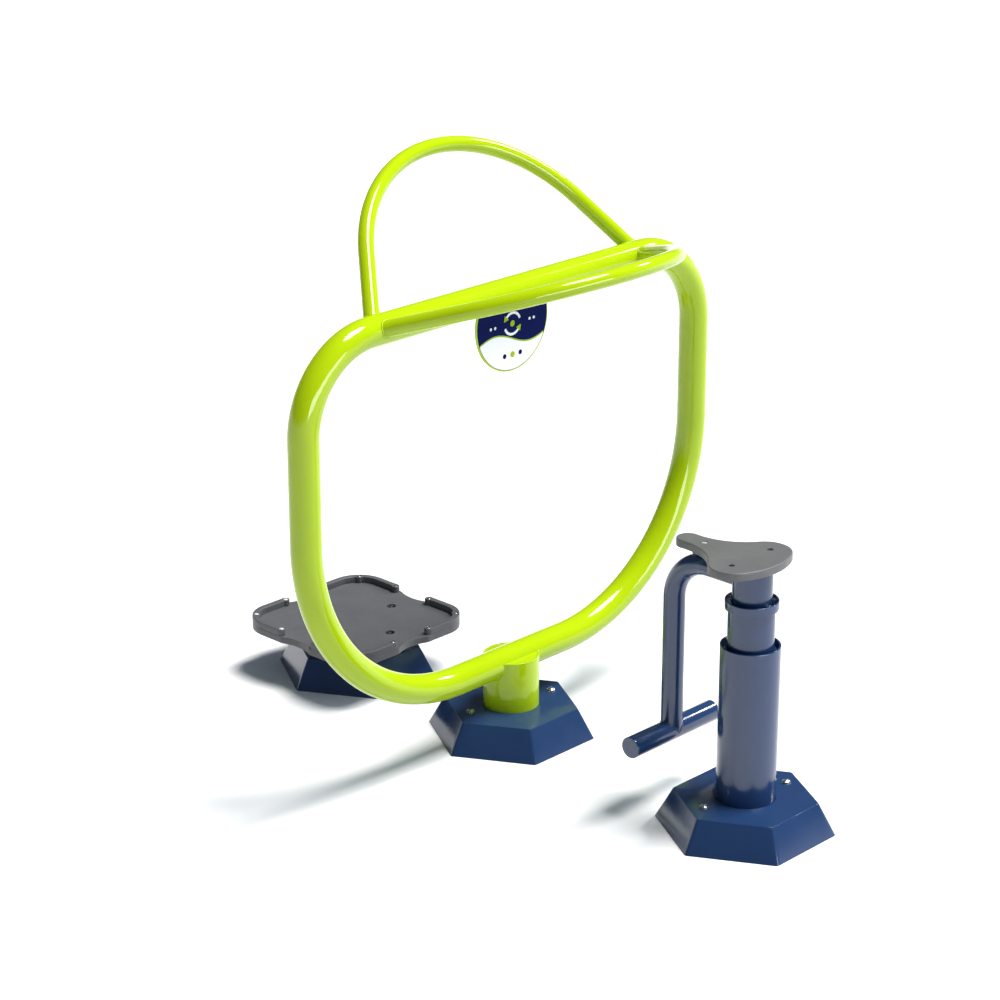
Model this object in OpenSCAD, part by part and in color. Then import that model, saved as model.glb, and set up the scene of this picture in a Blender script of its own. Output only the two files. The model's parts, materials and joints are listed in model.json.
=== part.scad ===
// Outdoor waist twister set: a looped handle frame between a turning seat and a turning deck.
// Millimetres. Origin on the ground at the loop post's axis, +Z up, loop in the XZ plane,
// seat station towards -Y and standing deck station towards +Y.

/* [Layout] */
// Distance from the loop post to the seat post
seat_spacing = 615; // [560:1:700]
// Distance from the loop post to the deck's axis
platform_spacing = 458; // [400:1:520]

/* [Loop] */
// Half width of the loop, to the tube's centre line
loop_half_w = 547; // [500:1:600]
// Height of the top bar's centre line
loop_bar_z = 930; // [880:1:1000]
// Height of the bottom run's centre line
loop_low_z = 160; // [150:1:175]
// Outer diameter of the loop tube
loop_tube_d = 60.3; // [54:0.1:66]
// Wall of the loop tube
loop_tube_t = 2.9; // [2:0.1:4]
// Bend radius of the two upper corners
loop_top_r = 172; // [150:1:180]
// Bend radius of the two lower corners
loop_low_r = 394; // [340:1:420]
// Diameter of the vent hole inside the post
loop_vent_d = 8; // [4:1:14]

/* [Handle arches] */
// Outer diameter of the arch tube
arch_tube_d = 31.8; // [26.9:0.1:42.4]
// Wall of the arch tube
arch_tube_t = 2.6; // [2:0.1:4]
// Reach of the arch's centre line from the top bar's axis
arch_reach = 327; // [310:1:350]
// Bend radius of the arch
arch_bend_r = 328; // [300:1:345]
// Lean of the straight legs, in degrees
arch_lean = 27.6; // [22:0.2:29]
// Upward tilt of the standing user's arch
rear_arch_tilt = 50; // [40:1:60]
// Upward tilt of the seated user's arch
front_arch_tilt = 18; // [10:1:30]

/* [Sign] */
// Diameter of the sign disc
sign_d = 200; // [160:1:220]
// Height of the disc's centre
sign_z = 870; // [860:1:880]
// Thickness of the sign plate
sign_t = 4; // [3:0.5:6]
// Width of the bare painted edge round the printed face
sign_border = 3; // [2:0.5:8]
// Thickness of each printed face
sign_face_t = 0.6; // [0.3:0.1:1]

/* [Posts] */
// Outer diameter of the three ground posts
post_d = 114.3; // [108:0.1:121]
// Wall of the ground posts
post_t = 3.6; // [3:0.1:5]
// Height of the loop post's rim
loop_post_top_z = 170; // [165:1:180]
// Thickness of the loop post's cap plate
cap_t = 5; // [3:0.5:8]
// Depth of the cap plate below the rim
cap_recess = 1; // [0.5:0.5:3]
// Height of the seat post's rim
seat_post_top_z = 375; // [340:1:400]

/* [Base plates] */
// Diameter of the base plates
base_d = 240; // [220:1:250]
// Thickness of the base plates
base_t = 10; // [8:1:12]
// Pitch circle of the anchor holes
anchor_pcd = 190; // [182:1:196]
// Diameter of the anchor holes
anchor_hole_d = 18; // [14:1:20]
// Number of anchor holes
anchor_count = 4; // [4]
// Diameter of the drain hole
drain_d = 40; // [20:1:60]
// Width of a gusset along the base plate
gusset_w = 35; // [25:1:45]
// Height of a gusset up the post
gusset_h = 38; // [25:1:42]
// Thickness of a gusset
gusset_t = 6; // [4:1:8]
// Number of gussets on each post
gusset_count = 4; // [4]

/* [Base covers] */
// Width across corners at the ground
cover_bottom_d = 350; // [330:1:370]
// Width across corners at the top
cover_top_d = 280; // [270:1:300]
// Height of the cover
cover_h = 63; // [58:1:68]
// Sheet thickness of the cover
cover_t = 3; // [2:0.5:4]
// Gap between the cover and the post
cover_gap = 0.5; // [0.3:0.1:2]
// Distance of the cover screws from the post's axis
cover_screw_r = 98; // [92:1:104]
// Direction of the cover screws
cover_screw_angle = -13; // [-20:1:-9]
// Diameter of the pillars under the cover
pillar_d = 14; // [12:1:16]
// Shank diameter of the cover screws
cover_screw_d = 8; // [6:1:10]
// Length of the cover screws under the head
cover_screw_l = 16; // [12:1:24]
// Diameter of the domed heads
cover_head_d = 17; // [14:1:20]
// Height of the domed heads
cover_head_h = 6; // [4:0.5:7]
// Socket width across corners in the domed heads
cover_socket_d = 5.8; // [4:0.1:8]
// Radial room round each screw shank in a clearance hole
screw_room = 0.5; // [0.3:0.1:1]

/* [Bearings] */
// Bore of the ball bearings
bearing_bore = 40; // [38:1:42]
// Outer diameter of the ball bearings
bearing_od = 80; // [78:1:82]
// Width of the ball bearings
bearing_w = 18; // [16:1:20]
// Ball diameter
ball_d = 11.9; // [10:0.1:12.7]
// Balls in each bearing
ball_count = 9; // [7:1:11]
// Play between a ball and its groove
ball_play = 0.1; // [0.05:0.01:0.2]
// Depth of the grooves in the races
groove_depth = 1.9; // [1.2:0.1:2.4]
// Thickness of the cage ring
cage_t = 2.8; // [2:0.1:4]
// Height of the cage ring
cage_h = 15; // [14:0.5:16]
// Thickness of the circlips
circlip_t = 2; // [1.5:0.1:2.5]
// Depth of the circlip groove
circlip_groove = 2; // [1:0.1:2.5]
// Inner reach of the circlips from the housing's wall
circlip_w = 5; // [4:0.1:5.5]
// Opening of the circlips in degrees
circlip_gap = 40; // [20:1:60]
// Diameter of the shoulder above the upper bearing
shoulder_d = 52; // [48:1:56]
// Diameter of the housing's bore under the lower bearing
housing_step_d = 73; // [68:1:76]
// Diameter of the spindle nuts
nut_d = 58; // [54:1:62]
// Height of the spindle nuts
nut_h = 10; // [8:1:11]
// Width of the wrench slots in the spindle nuts
nut_slot = 6; // [4:1:8]
// Spindle end standing out of the nut
spindle_tail = 1; // [0.5:0.1:1.2]

/* [Twist stops] */
// Twist to either side before the stop
twist_limit = 45; // [30:1:60]
// Free angle left beyond the limit, in degrees
stop_slack = 0.4; // [0.2:0.1:1]
// Diameter of the deck's stop pin
stop_pin_d = 10; // [6:1:11]
// Distance of the deck's stop pin from the axis
stop_pin_r = 47; // [46:0.5:48]
// Height of the deck's stop ring
stop_ring_h = 6; // [4:1:8]
// Radial wall of the deck's stop ring
stop_ring_w = 12; // [8:1:12]
// Half angle of the seat's stop lug
lug_half_angle = 7; // [5:1:10]
// Height of the seat's stop ring
seat_stop_h = 5; // [3:0.5:6]

/* [Deck station] */
// Height of the housing's foot over the base plate
housing_lift = 2; // [1:1:3]
// Height of the step that carries the lower bearing
housing_step_h = 12; // [12:1:14]
// Length of the spacer between the deck's bearings
platform_spacer_h = 12; // [10:1:16]
// Housing wall above the circlip
housing_lip = 2; // [1.5:0.5:4]
// Running gap between the housing and the hub plate
hub_gap = 12; // [11:1:16]
// Diameter of the hub plate
hub_d = 236; // [226:1:250]
// Thickness of the hub plate
hub_t = 8; // [6:1:10]
// Width of the square deck
deck_w = 352; // [340:1:370]
// Corner radius of the deck
deck_corner_r = 67; // [60:1:75]
// Thickness of the deck
deck_t = 15; // [13:1:19]
// Half width of the hollow in the middle of each side
notch_half_w = 42; // [36:1:43]
// Depth of that hollow
notch_depth = 10; // [6:1:14]
// Height of the corner rims
rim_h = 14; // [10:1:20]
// Width of the corner rims
rim_w = 14; // [12:0.5:16]
// Diameter of the round bosses on the rims
rim_boss_d = 18; // [17:0.5:19]
// Distance of the rims' ends from the middle of a side
rim_end = 43; // [43:1:46]
// Shank diameter of the rim screws
rim_screw_d = 6; // [4:1:6]
// Head diameter of the rim screws
rim_head_d = 10; // [9:0.5:11]
// Height of the rim screws' countersunk heads
rim_head_h = 2.5; // [2:0.5:3]
// Depth of the rim screws in the deck
rim_screw_bite = 10; // [8:1:12]
// Distance of the deck screws from the axis
deck_screw_r = 103; // [98:1:106]
// Shank diameter of the deck screws
deck_screw_d = 8; // [6:1:8]
// Diameter of the sunk seats of the deck screws
deck_sink_d = 17.6; // [17.4:0.1:19]
// Depth of the sunk seats
deck_sink_h = 5; // [4:0.5:7]
// Head diameter of the deck screws
deck_head_d = 17; // [15:0.1:17.2]
// Head height of the deck screws
deck_head_h = 5.5; // [4:0.5:6]

/* [Seat station] */
// Height of the seat's top face
seat_top_z = 546; // [520:1:570]
// Thickness of the seat
seat_t = 16; // [14:1:20]
// Thickness of the plate under the seat
top_plate_t = 6; // [5:1:8]
// Outer diameter of the middle post
mid_d = 88.9; // [87:0.1:92]
// Length of the middle post inside the ground post
mid_depth = 225; // [215:1:250]
// Height of the collar's rim
collar_top_z = 465; // [455:1:475]
// Outer diameter of the collar
collar_d = 101.6; // [99:0.1:104]
// Height of the collar
collar_h = 17; // [15:1:20]
// Depth of the collar's cup
collar_cup = 10; // [9:0.5:12]
// Wall of the collar's cup
collar_wall = 3.2; // [2.5:0.1:4]
// Outer diameter of the turning upper tube
upper_d = 76.1; // [74:0.1:77]
// Wall of the upper tube
upper_t = 3; // [2.5:0.1:4]
// Running gap under the upper tube
upper_gap = 2; // [1.5:0.1:3]
// Depth of the upper bearing below the middle post's rim
seat_bearing_depth = 9; // [6:1:12]
// Length of the spacer between the seat's bearings
seat_spacer_h = 80; // [60:1:100]
// Depth of the spindle's head inside the upper tube
spindle_head_h = 12; // [8:1:16]
// Depth of the upper centring ring below the ground post's rim
ring_recess = 12; // [8:1:20]
// Thickness of the centring rings
ring_t = 8; // [6:1:12]
// Lift of the lower centring ring over the middle post's foot
ring_lift = 5; // [3:1:10]
// Distance of the nose's centre from the post axis
nose_y = 156; // [148:1:164]
// Radius of the nose
nose_r = 23.5; // [21:0.5:26]
// Radius of the seat's hollow sides
waist_r = 118; // [105:1:130]
// Side offset of the rear lobes' centres
lobe_x = 47.5; // [45:0.5:50]
// Forward offset of the rear lobes' centres
lobe_y = 7; // [4:1:12]
// Radius of the rear lobes
lobe_r = 48.5; // [46:0.5:51]
// Radius of the rear edge
rear_r = 145; // [130:1:170]
// Forward offset of the nose screw
nose_screw_y = 117; // [112:1:124]
// Side offset of the rear screws
rear_screw_x = 56; // [52:1:60]
// Forward offset of the rear screws
rear_screw_y = 6; // [2:1:10]
// Shank diameter of the seat bolts
seat_bolt_d = 8; // [6:1:8]
// Diameter of the sunk seats of the bolts
seat_sink_d = 12.4; // [12:0.1:14]
// Depth of the sunk seats
seat_sink_h = 9; // [9:0.5:10]
// Head diameter of the seat bolts
seat_head_d = 11.6; // [11:0.1:11.8]
// Head height of the seat bolts
seat_head_h = 8.5; // [7:0.5:8.5]
// Width of the plate's arms
top_plate_arm_w = 34; // [30:1:40]
// Plate left beyond the bolts
top_plate_end = 16; // [12:1:20]

/* [Footrest] */
// Outer diameter of the footrest tubes
foot_tube_d = 42.4; // [38:0.1:45]
// Wall of the footrest tubes
foot_tube_t = 3; // [2:0.1:4]
// Distance of the upright from the post axis
foot_reach = 187; // [180:1:200]
// Bend radius of the arm
foot_bend_r = 84.5; // [74:0.5:94]
// Height of the crossbar
foot_bar_z = 141; // [120:1:200]
// Length of the crossbar over its end plates
foot_bar_l = 240; // [200:1:300]
// Thickness of the end plates
foot_cap_t = 3; // [2:0.5:5]

/* [Hidden] */
$fn = 72;
loop_r = loop_tube_d / 2;
arch_r = arch_tube_d / 2;
foot_r = foot_tube_d / 2;
post_r = post_d / 2;
post_in_r = post_r - post_t;
mid_r = mid_d / 2;
upper_r = upper_d / 2;
collar_in_r = collar_d / 2 - collar_wall;
ball_r = ball_d / 2;
pitch_r = (bearing_bore + bearing_od) / 4;
groove_r = ball_r + ball_play;
race_gap = 2 * (groove_r - groove_depth);
bore_r = bearing_od / 2;
shaft_r = bearing_bore / 2;
cover_wall_run = (cover_bottom_d - cover_top_d) / 2 / cover_h;

platform_low_z = base_t + housing_lift + housing_step_h;
platform_high_z = platform_low_z + bearing_w + platform_spacer_h;
platform_post_top_z = platform_high_z + bearing_w + circlip_t + housing_lip;
hub_z = platform_post_top_z + hub_gap;
deck_z = hub_z + hub_t;
rim_z = deck_z + deck_t;

mid_top_z = collar_top_z - collar_cup;
mid_low_z = seat_post_top_z - mid_depth;
upper_low_z = mid_top_z + upper_gap;
seat_high_z = mid_top_z - seat_bearing_depth - bearing_w;
seat_low_z = seat_high_z - seat_spacer_h - bearing_w;
seat_z = seat_top_z - seat_t;
top_plate_z = seat_z - top_plate_t;
foot_arm_z = top_plate_z - foot_r;
seat_bolts_at = [
    [0, nose_screw_y],
    [-rear_screw_x, rear_screw_y],
    [rear_screw_x, rear_screw_y]
];

// a margin that carries a cut past the face it opens
over = 1;

lime = "#bee01a";
navy = "#22385f";
deck_grey = "#5e5e62";
seat_grey = "#7c7c7c";
zinc = "#a9adb0";
steel = "#c9ccd0";
brass = "#b8964a";

module at_seat() {
    translate([0, -seat_spacing, 0]) children();
}

module at_platform() {
    translate([0, platform_spacing, 0]) children();
}

module at_stations() {
    children();
    at_seat() children();
    at_platform() children();
}

// a plain ring standing on z
module ring(z, h, outer_r, inner_r) {
    translate([0, 0, z]) rotate_extrude() translate([inner_r, 0]) square([outer_r - inner_r, h]);
}

// a ring left open over an angle that is centred on the given direction
module open_ring(z, h, outer_r, inner_r, opening, direction) {
    translate([0, 0, z])
        rotate([0, 0, direction + opening / 2])
            rotate_extrude(angle = 360 - opening)
                translate([inner_r, 0]) square([outer_r - inner_r, h]);
}

module bar_along_x(r, half_l) {
    rotate([0, 90, 0]) cylinder(r = r, h = 2 * half_l, center = true);
}

// Ground parts, the same on all three stations

module base_plate() {
    difference() {
        cylinder(d = base_d, h = base_t);
        translate([0, 0, -over]) cylinder(d = drain_d, h = base_t + 2 * over);
        for (i = [0 : anchor_count - 1])
            rotate([0, 0, 45 + i * 360 / anchor_count])
                translate([anchor_pcd / 2, 0, -over])
                    cylinder(d = anchor_hole_d, h = base_t + 2 * over);
    }
}

module base_gussets() {
    for (i = [0 : gusset_count - 1])
        rotate([0, 0, i * 360 / gusset_count])
            difference() {
                translate([0, gusset_t / 2, base_t])
                    rotate([90, 0, 0])
                        linear_extrude(gusset_t)
                            polygon([
                                [post_r - gusset_t, 0],
                                [post_r + gusset_w, 0],
                                [post_r + gusset_w, gusset_t],
                                [post_r + gusset_t, gusset_h],
                                [post_r - gusset_t, gusset_h]
                            ]);
                cylinder(r = post_r, h = base_t + gusset_h + over);
            }
}

// the two screw places of a cover
module at_cover_screws() {
    for (side = [0, 180])
        rotate([0, 0, cover_screw_angle + side]) translate([cover_screw_r, 0, 0]) children();
}

module base_cover() {
    difference() {
        cylinder(d1 = cover_bottom_d, d2 = cover_top_d, h = cover_h, $fn = 6);
        translate([0, 0, -cover_t])
            cylinder(
                r1 = cover_bottom_d / 2 - cover_t + cover_t * cover_wall_run,
                r2 = cover_top_d / 2 - cover_t,
                h = cover_h, $fn = 6
            );
        cylinder(r = post_r + cover_gap, h = cover_h + over);
        at_cover_screws()
            cylinder(r = cover_screw_d / 2 + screw_room, h = cover_h + over);
    }
}

// a domed screw head standing on z = 0, with a hexagon socket
module domed_head(d, h, socket_d) {
    dome_r = (d * d / 4 + h * h) / (2 * h);
    difference() {
        rotate_extrude()
            intersection() {
                translate([0, h - dome_r]) circle(r = dome_r);
                square([d / 2, h]);
            }
        translate([0, 0, h / 2]) cylinder(d = socket_d, h = h, $fn = 6);
    }
}

// Loop station

module loop_base_plate() {
    color(zinc) base_plate();
}

module loop_base_gussets() {
    color(lime) base_gussets();
}

module loop_post() {
    color(lime)
        difference() {
            ring(base_t, loop_post_top_z - base_t, post_r, post_in_r);
            translate([0, 0, loop_low_z]) bar_along_x(loop_r, post_d);
        }
}

module loop_post_cap() {
    color(lime)
        difference() {
            translate([0, 0, loop_post_top_z - cap_recess - cap_t])
                cylinder(r = post_in_r, h = cap_t);
            translate([0, 0, loop_low_z]) bar_along_x(loop_r, post_d);
        }
}

// one quarter bend in the XZ plane from the +X direction up to the +Z direction
module quarter_bend(bend_r, r) {
    rotate([90, 0, 0])
        rotate_extrude(angle = 90)
            translate([bend_r, 0]) circle(r = r);
}

// the closed loop swept by a disc of radius r along the centre line
module loop_sweep(r) {
    top_run = loop_half_w - loop_top_r;
    low_run = loop_half_w - loop_low_r;
    side_low_z = loop_low_z + loop_low_r;
    side_l = loop_bar_z - loop_top_r - side_low_z;
    translate([0, 0, loop_bar_z]) bar_along_x(r, top_run);
    translate([0, 0, loop_low_z]) bar_along_x(r, low_run);
    for (side = [0, 1])
        mirror([side, 0, 0]) {
            translate([loop_half_w, 0, side_low_z]) cylinder(r = r, h = side_l);
            translate([top_run, 0, loop_bar_z - loop_top_r]) quarter_bend(loop_top_r, r);
            translate([low_run, 0, side_low_z])
                mirror([0, 0, 1]) quarter_bend(loop_low_r, r);
        }
}

module loop_frame() {
    color(lime)
        difference() {
            loop_sweep(loop_r);
            loop_sweep(loop_r - loop_tube_t);
            translate([0, 0, loop_low_z - loop_r - over])
                cylinder(d = loop_vent_d, h = loop_r);
        }
}

// centre line of an arch: a round bend with a straight leg run tangent to each of its ends
module arch_sweep(r) {
    centre_v = arch_reach - arch_bend_r;
    leg_l = (centre_v + arch_bend_r * sin(arch_lean)) / cos(arch_lean);
    translate([0, centre_v, 0]) {
        rotate([0, 0, arch_lean])
            rotate_extrude(angle = 180 - 2 * arch_lean)
                translate([arch_bend_r, 0]) circle(r = r);
        rotate([0, 0, arch_lean])
            translate([arch_bend_r, 0, 0])
                rotate([90, 0, 0]) cylinder(r = r, h = leg_l);
        rotate([0, 0, 180 - arch_lean])
            translate([arch_bend_r, 0, 0])
                rotate([-90, 0, 0]) cylinder(r = r, h = leg_l);
    }
}

module arch() {
    difference() {
        arch_sweep(arch_r);
        arch_sweep(arch_r - arch_tube_t);
        bar_along_x(loop_r, loop_half_w);
    }
}

module rear_arch() {
    color(lime)
        translate([0, 0, loop_bar_z]) rotate([rear_arch_tilt, 0, 0]) arch();
}

module front_arch() {
    color(lime)
        translate([0, 0, loop_bar_z])
            mirror([0, 1, 0]) rotate([front_arch_tilt, 0, 0]) arch();
}

// a round disc in the loop's plane, cut off under the top bar
module sign_disc(d, t, bar_r) {
    difference() {
        rotate([90, 0, 0])
            linear_extrude(t, center = true)
                intersection() {
                    translate([0, sign_z]) circle(d = d);
                    translate([-sign_d, 0]) square([2 * sign_d, loop_bar_z]);
                }
        translate([0, 0, loop_bar_z]) bar_along_x(bar_r, sign_d);
    }
}

module sign_plate() {
    color(lime) sign_disc(sign_d, sign_t, loop_r);
}

module sign_faces() {
    color(navy)
        for (side = [-1, 1])
            translate([0, side * (sign_t + sign_face_t) / 2, 0])
                sign_disc(sign_d - 2 * sign_border, sign_face_t, loop_r + sign_border);
}

module loop_base_cover() {
    color(navy) base_cover();
}

// Turning gear shared by the deck and the seat

// the groove and rolling gap of a bearing that stands on z = 0
module ball_track() {
    rotate_extrude()
        union() {
            translate([pitch_r, bearing_w / 2]) circle(r = groove_r);
            translate([pitch_r - race_gap / 2, -over]) square([race_gap, bearing_w + 2 * over]);
        }
}

module outer_race() {
    difference() {
        ring(0, bearing_w, bore_r, pitch_r);
        ball_track();
    }
}

module inner_race() {
    difference() {
        ring(0, bearing_w, pitch_r, shaft_r);
        ball_track();
    }
}

module at_balls() {
    for (i = [0 : ball_count - 1])
        rotate([0, 0, i * 360 / ball_count])
            translate([pitch_r, 0, bearing_w / 2]) children();
}

module ball_cage() {
    difference() {
        ring((bearing_w - cage_h) / 2, cage_h, pitch_r + cage_t / 2, pitch_r - cage_t / 2);
        at_balls() bar_along_x(groove_r, cage_t);
    }
}

module bearing_balls() {
    at_balls() sphere(r = ball_r);
}

// children repeated at the lower and the upper bearing of a station
module at_bearings(low_z, high_z) {
    translate([0, 0, low_z]) children();
    translate([0, 0, high_z]) children();
}

module bearing_spacer(low_z, h) {
    ring(low_z + bearing_w, h, shoulder_d / 2, shaft_r);
}

module circlip(high_z) {
    open_ring(
        high_z + bearing_w, circlip_t, bore_r + circlip_groove, bore_r - circlip_w,
        circlip_gap, 0
    );
}

// the counterbore, the step and the circlip groove of a bearing housing
module housing_bore(low_z, high_z, foot_z, top_z) {
    translate([0, 0, foot_z - over]) cylinder(d = housing_step_d, h = low_z - foot_z + 2 * over);
    translate([0, 0, low_z]) cylinder(r = bore_r, h = top_z - low_z + over);
    translate([0, 0, high_z + bearing_w])
        cylinder(r = bore_r + circlip_groove, h = circlip_t);
}

module spindle_shaft(low_z, high_z, top_z) {
    tail_z = low_z - nut_h - spindle_tail;
    translate([0, 0, tail_z]) cylinder(r = shaft_r, h = high_z + bearing_w - tail_z);
    translate([0, 0, high_z + bearing_w])
        cylinder(d = shoulder_d, h = top_z - high_z - bearing_w);
}

module spindle_nut(low_z) {
    translate([0, 0, low_z - nut_h])
        linear_extrude(nut_h)
            difference() {
                circle(d = nut_d);
                circle(r = shaft_r);
                for (i = [0 : 3])
                    rotate(i * 90)
                        translate([nut_d / 2 - nut_slot / 2, -nut_slot / 2])
                            square([nut_slot, nut_slot]);
            }
}

// Deck station

module platform_base_plate() {
    color(zinc) at_platform() base_plate();
}

module platform_base_gussets() {
    color(navy) at_platform() base_gussets();
}

module platform_post() {
    color(navy)
        at_platform() ring(base_t, platform_post_top_z - base_t, post_r, post_in_r);
}

module platform_bearing_housing() {
    foot_z = base_t + housing_lift;
    color(zinc)
        at_platform()
            difference() {
                translate([0, 0, foot_z])
                    cylinder(r = post_in_r, h = platform_post_top_z - foot_z);
                housing_bore(platform_low_z, platform_high_z, foot_z, platform_post_top_z);
            }
}

module platform_outer_races() {
    color(steel) at_platform() at_bearings(platform_low_z, platform_high_z) outer_race();
}

module platform_inner_races() {
    color(steel) at_platform() at_bearings(platform_low_z, platform_high_z) inner_race();
}

module platform_ball_cages() {
    color(brass) at_platform() at_bearings(platform_low_z, platform_high_z) ball_cage();
}

module platform_balls() {
    color(steel) at_platform() at_bearings(platform_low_z, platform_high_z) bearing_balls();
}

module platform_bearing_spacer() {
    color(zinc) at_platform() bearing_spacer(platform_low_z, platform_spacer_h);
}

module platform_circlip() {
    color(zinc) at_platform() circlip(platform_high_z);
}

module platform_spindle() {
    color(zinc) at_platform() spindle_shaft(platform_low_z, platform_high_z, hub_z);
}

module platform_spindle_nut() {
    color(zinc) at_platform() spindle_nut(platform_low_z);
}

module platform_stop_ring() {
    opening = 2 * (twist_limit + stop_slack + asin(stop_pin_d / 2 / stop_pin_r));
    color(zinc)
        at_platform()
            open_ring(
                platform_post_top_z, stop_ring_h,
                post_in_r - over / 2, post_in_r - over / 2 - stop_ring_w, opening, -90
            );
}

module platform_stop_pin() {
    color(steel)
        at_platform()
            translate([0, -stop_pin_r, platform_post_top_z + over])
                cylinder(d = stop_pin_d, h = hub_gap - over);
}

module at_deck_screws() {
    for (i = [0 : 3]) rotate([0, 0, i * 90]) translate([deck_screw_r, 0, 0]) children();
}

module platform_hub_plate() {
    color(zinc)
        at_platform()
            difference() {
                translate([0, 0, hub_z]) cylinder(d = hub_d, h = hub_t);
                at_deck_screws() translate([0, 0, hub_z - over])
                    cylinder(d = deck_screw_d, h = hub_t + 2 * over);
            }
}

// a square with round corners, exact in its arcs
module round_square(w, corner_r) {
    square([w, w - 2 * corner_r], center = true);
    square([w - 2 * corner_r, w], center = true);
    for (x = [-1, 1], y = [-1, 1])
        translate([x, y] * (w / 2 - corner_r)) circle(r = corner_r);
}

// the three screw places on each corner rim
module at_rim_screws() {
    inset = rim_boss_d / 2 + over / 2;
    line_r = deck_w / 2 - inset;
    corner_c = deck_w / 2 - deck_corner_r;
    corner_at = corner_c + (deck_corner_r - inset) * sqrt(0.5);
    for (i = [0 : 3])
        rotate([0, 0, i * 90]) {
            translate([line_r, rim_end + rim_boss_d / 2 - over, 0]) children();
            translate([rim_end + rim_boss_d / 2 - over, line_r, 0]) children();
            translate([corner_at, corner_at, 0]) children();
        }
}

module platform_deck() {
    notch_r = (notch_half_w * notch_half_w + notch_depth * notch_depth) / (2 * notch_depth);
    color(deck_grey)
        at_platform()
            difference() {
                translate([0, 0, deck_z])
                    linear_extrude(deck_t)
                        difference() {
                            round_square(deck_w, deck_corner_r);
                            for (i = [0 : 3])
                                rotate(i * 90)
                                    translate([deck_w / 2 - notch_depth + notch_r, 0])
                                        circle(r = notch_r, $fn = 120);
                        }
                at_deck_screws() {
                    translate([0, 0, deck_z - over])
                        cylinder(r = deck_screw_d / 2 + screw_room, h = deck_t + 2 * over);
                    translate([0, 0, rim_z - deck_sink_h])
                        cylinder(d = deck_sink_d, h = deck_sink_h + over);
                }
                at_rim_screws() translate([0, 0, rim_z - rim_screw_bite])
                    cylinder(d = rim_screw_d, h = rim_screw_bite + over);
            }
}

// the countersunk screw shape, head flush with z = 0 and its shank downwards
module flush_screw(d, l, head_d, head_h, room) {
    rotate_extrude()
        polygon([
            [0, -l],
            [d / 2 + room, -l],
            [d / 2 + room, room - head_h],
            [head_d / 2 + room, 0],
            [0, 0]
        ]);
}

module platform_corner_rims() {
    color(deck_grey)
        at_platform()
            difference() {
                translate([0, 0, rim_z])
                    linear_extrude(rim_h)
                        difference() {
                            union() {
                                difference() {
                                    round_square(deck_w, deck_corner_r);
                                    round_square(deck_w - 2 * rim_w, deck_corner_r - rim_w);
                                }
                                at_rim_screws() circle(d = rim_boss_d);
                            }
                            square([2 * deck_w, 2 * rim_end], center = true);
                            square([2 * rim_end, 2 * deck_w], center = true);
                        }
                at_rim_screws() translate([0, 0, rim_z + rim_h])
                    flush_screw(rim_screw_d, rim_h + over, rim_head_d, rim_head_h, 0);
            }
}

module platform_rim_screws() {
    color(steel)
        at_platform()
            at_rim_screws() translate([0, 0, rim_z + rim_h])
                flush_screw(rim_screw_d, rim_h + rim_screw_bite, rim_head_d, rim_head_h, 0);
}

module platform_deck_screws() {
    seat_at = rim_z - deck_sink_h;
    color(steel)
        at_platform()
            at_deck_screws() {
                translate([0, 0, seat_at])
                    domed_head(deck_head_d, deck_head_h, cover_socket_d);
                translate([0, 0, hub_z]) cylinder(d = deck_screw_d, h = seat_at - hub_z);
            }
}

module platform_base_cover() {
    color(navy) at_platform() base_cover();
}

// Seat station

module seat_base_plate() {
    color(zinc) at_seat() base_plate();
}

module seat_base_gussets() {
    color(navy) at_seat() base_gussets();
}

module seat_lower_post() {
    color(navy) at_seat() ring(base_t, seat_post_top_z - base_t, post_r, post_in_r);
}

module seat_centring_rings() {
    color(navy)
        at_seat() {
            ring(seat_post_top_z - ring_recess - ring_t, ring_t, post_in_r, mid_r);
            ring(mid_low_z + ring_lift, ring_t, post_in_r, mid_r);
        }
}

module seat_middle_post() {
    color(navy)
        at_seat()
            difference() {
                translate([0, 0, mid_low_z]) cylinder(r = mid_r, h = mid_top_z - mid_low_z);
                housing_bore(seat_low_z, seat_high_z, mid_low_z, mid_top_z);
            }
}

module seat_collar() {
    color(navy)
        at_seat() {
            difference() {
                translate([0, 0, collar_top_z - collar_h]) cylinder(d = collar_d, h = collar_h);
                translate([0, 0, collar_top_z - collar_h - over])
                    cylinder(r = mid_r, h = collar_h + 2 * over);
                translate([0, 0, mid_top_z]) cylinder(r = collar_in_r, h = collar_cup + over);
            }
        }
}

module seat_outer_races() {
    color(steel) at_seat() at_bearings(seat_low_z, seat_high_z) outer_race();
}

module seat_inner_races() {
    color(steel) at_seat() at_bearings(seat_low_z, seat_high_z) inner_race();
}

module seat_ball_cages() {
    color(brass) at_seat() at_bearings(seat_low_z, seat_high_z) ball_cage();
}

module seat_balls() {
    color(steel) at_seat() at_bearings(seat_low_z, seat_high_z) bearing_balls();
}

module seat_bearing_spacer() {
    color(zinc) at_seat() bearing_spacer(seat_low_z, seat_spacer_h);
}

module seat_circlip() {
    color(zinc) at_seat() circlip(seat_high_z);
}

module seat_spindle() {
    color(zinc)
        at_seat() {
            spindle_shaft(seat_low_z, seat_high_z, upper_low_z);
            translate([0, 0, upper_low_z]) cylinder(r = upper_r - upper_t, h = spindle_head_h);
        }
}

module seat_spindle_nut() {
    color(zinc) at_seat() spindle_nut(seat_low_z);
}

module seat_upper_tube() {
    color(navy)
        at_seat() ring(upper_low_z, top_plate_z - upper_low_z, upper_r, upper_r - upper_t);
}

module seat_stop_ring() {
    color(zinc)
        at_seat()
            open_ring(
                mid_top_z, seat_stop_h, collar_in_r, upper_r + upper_gap,
                2 * (twist_limit + stop_slack + lug_half_angle), -90
            );
}

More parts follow.
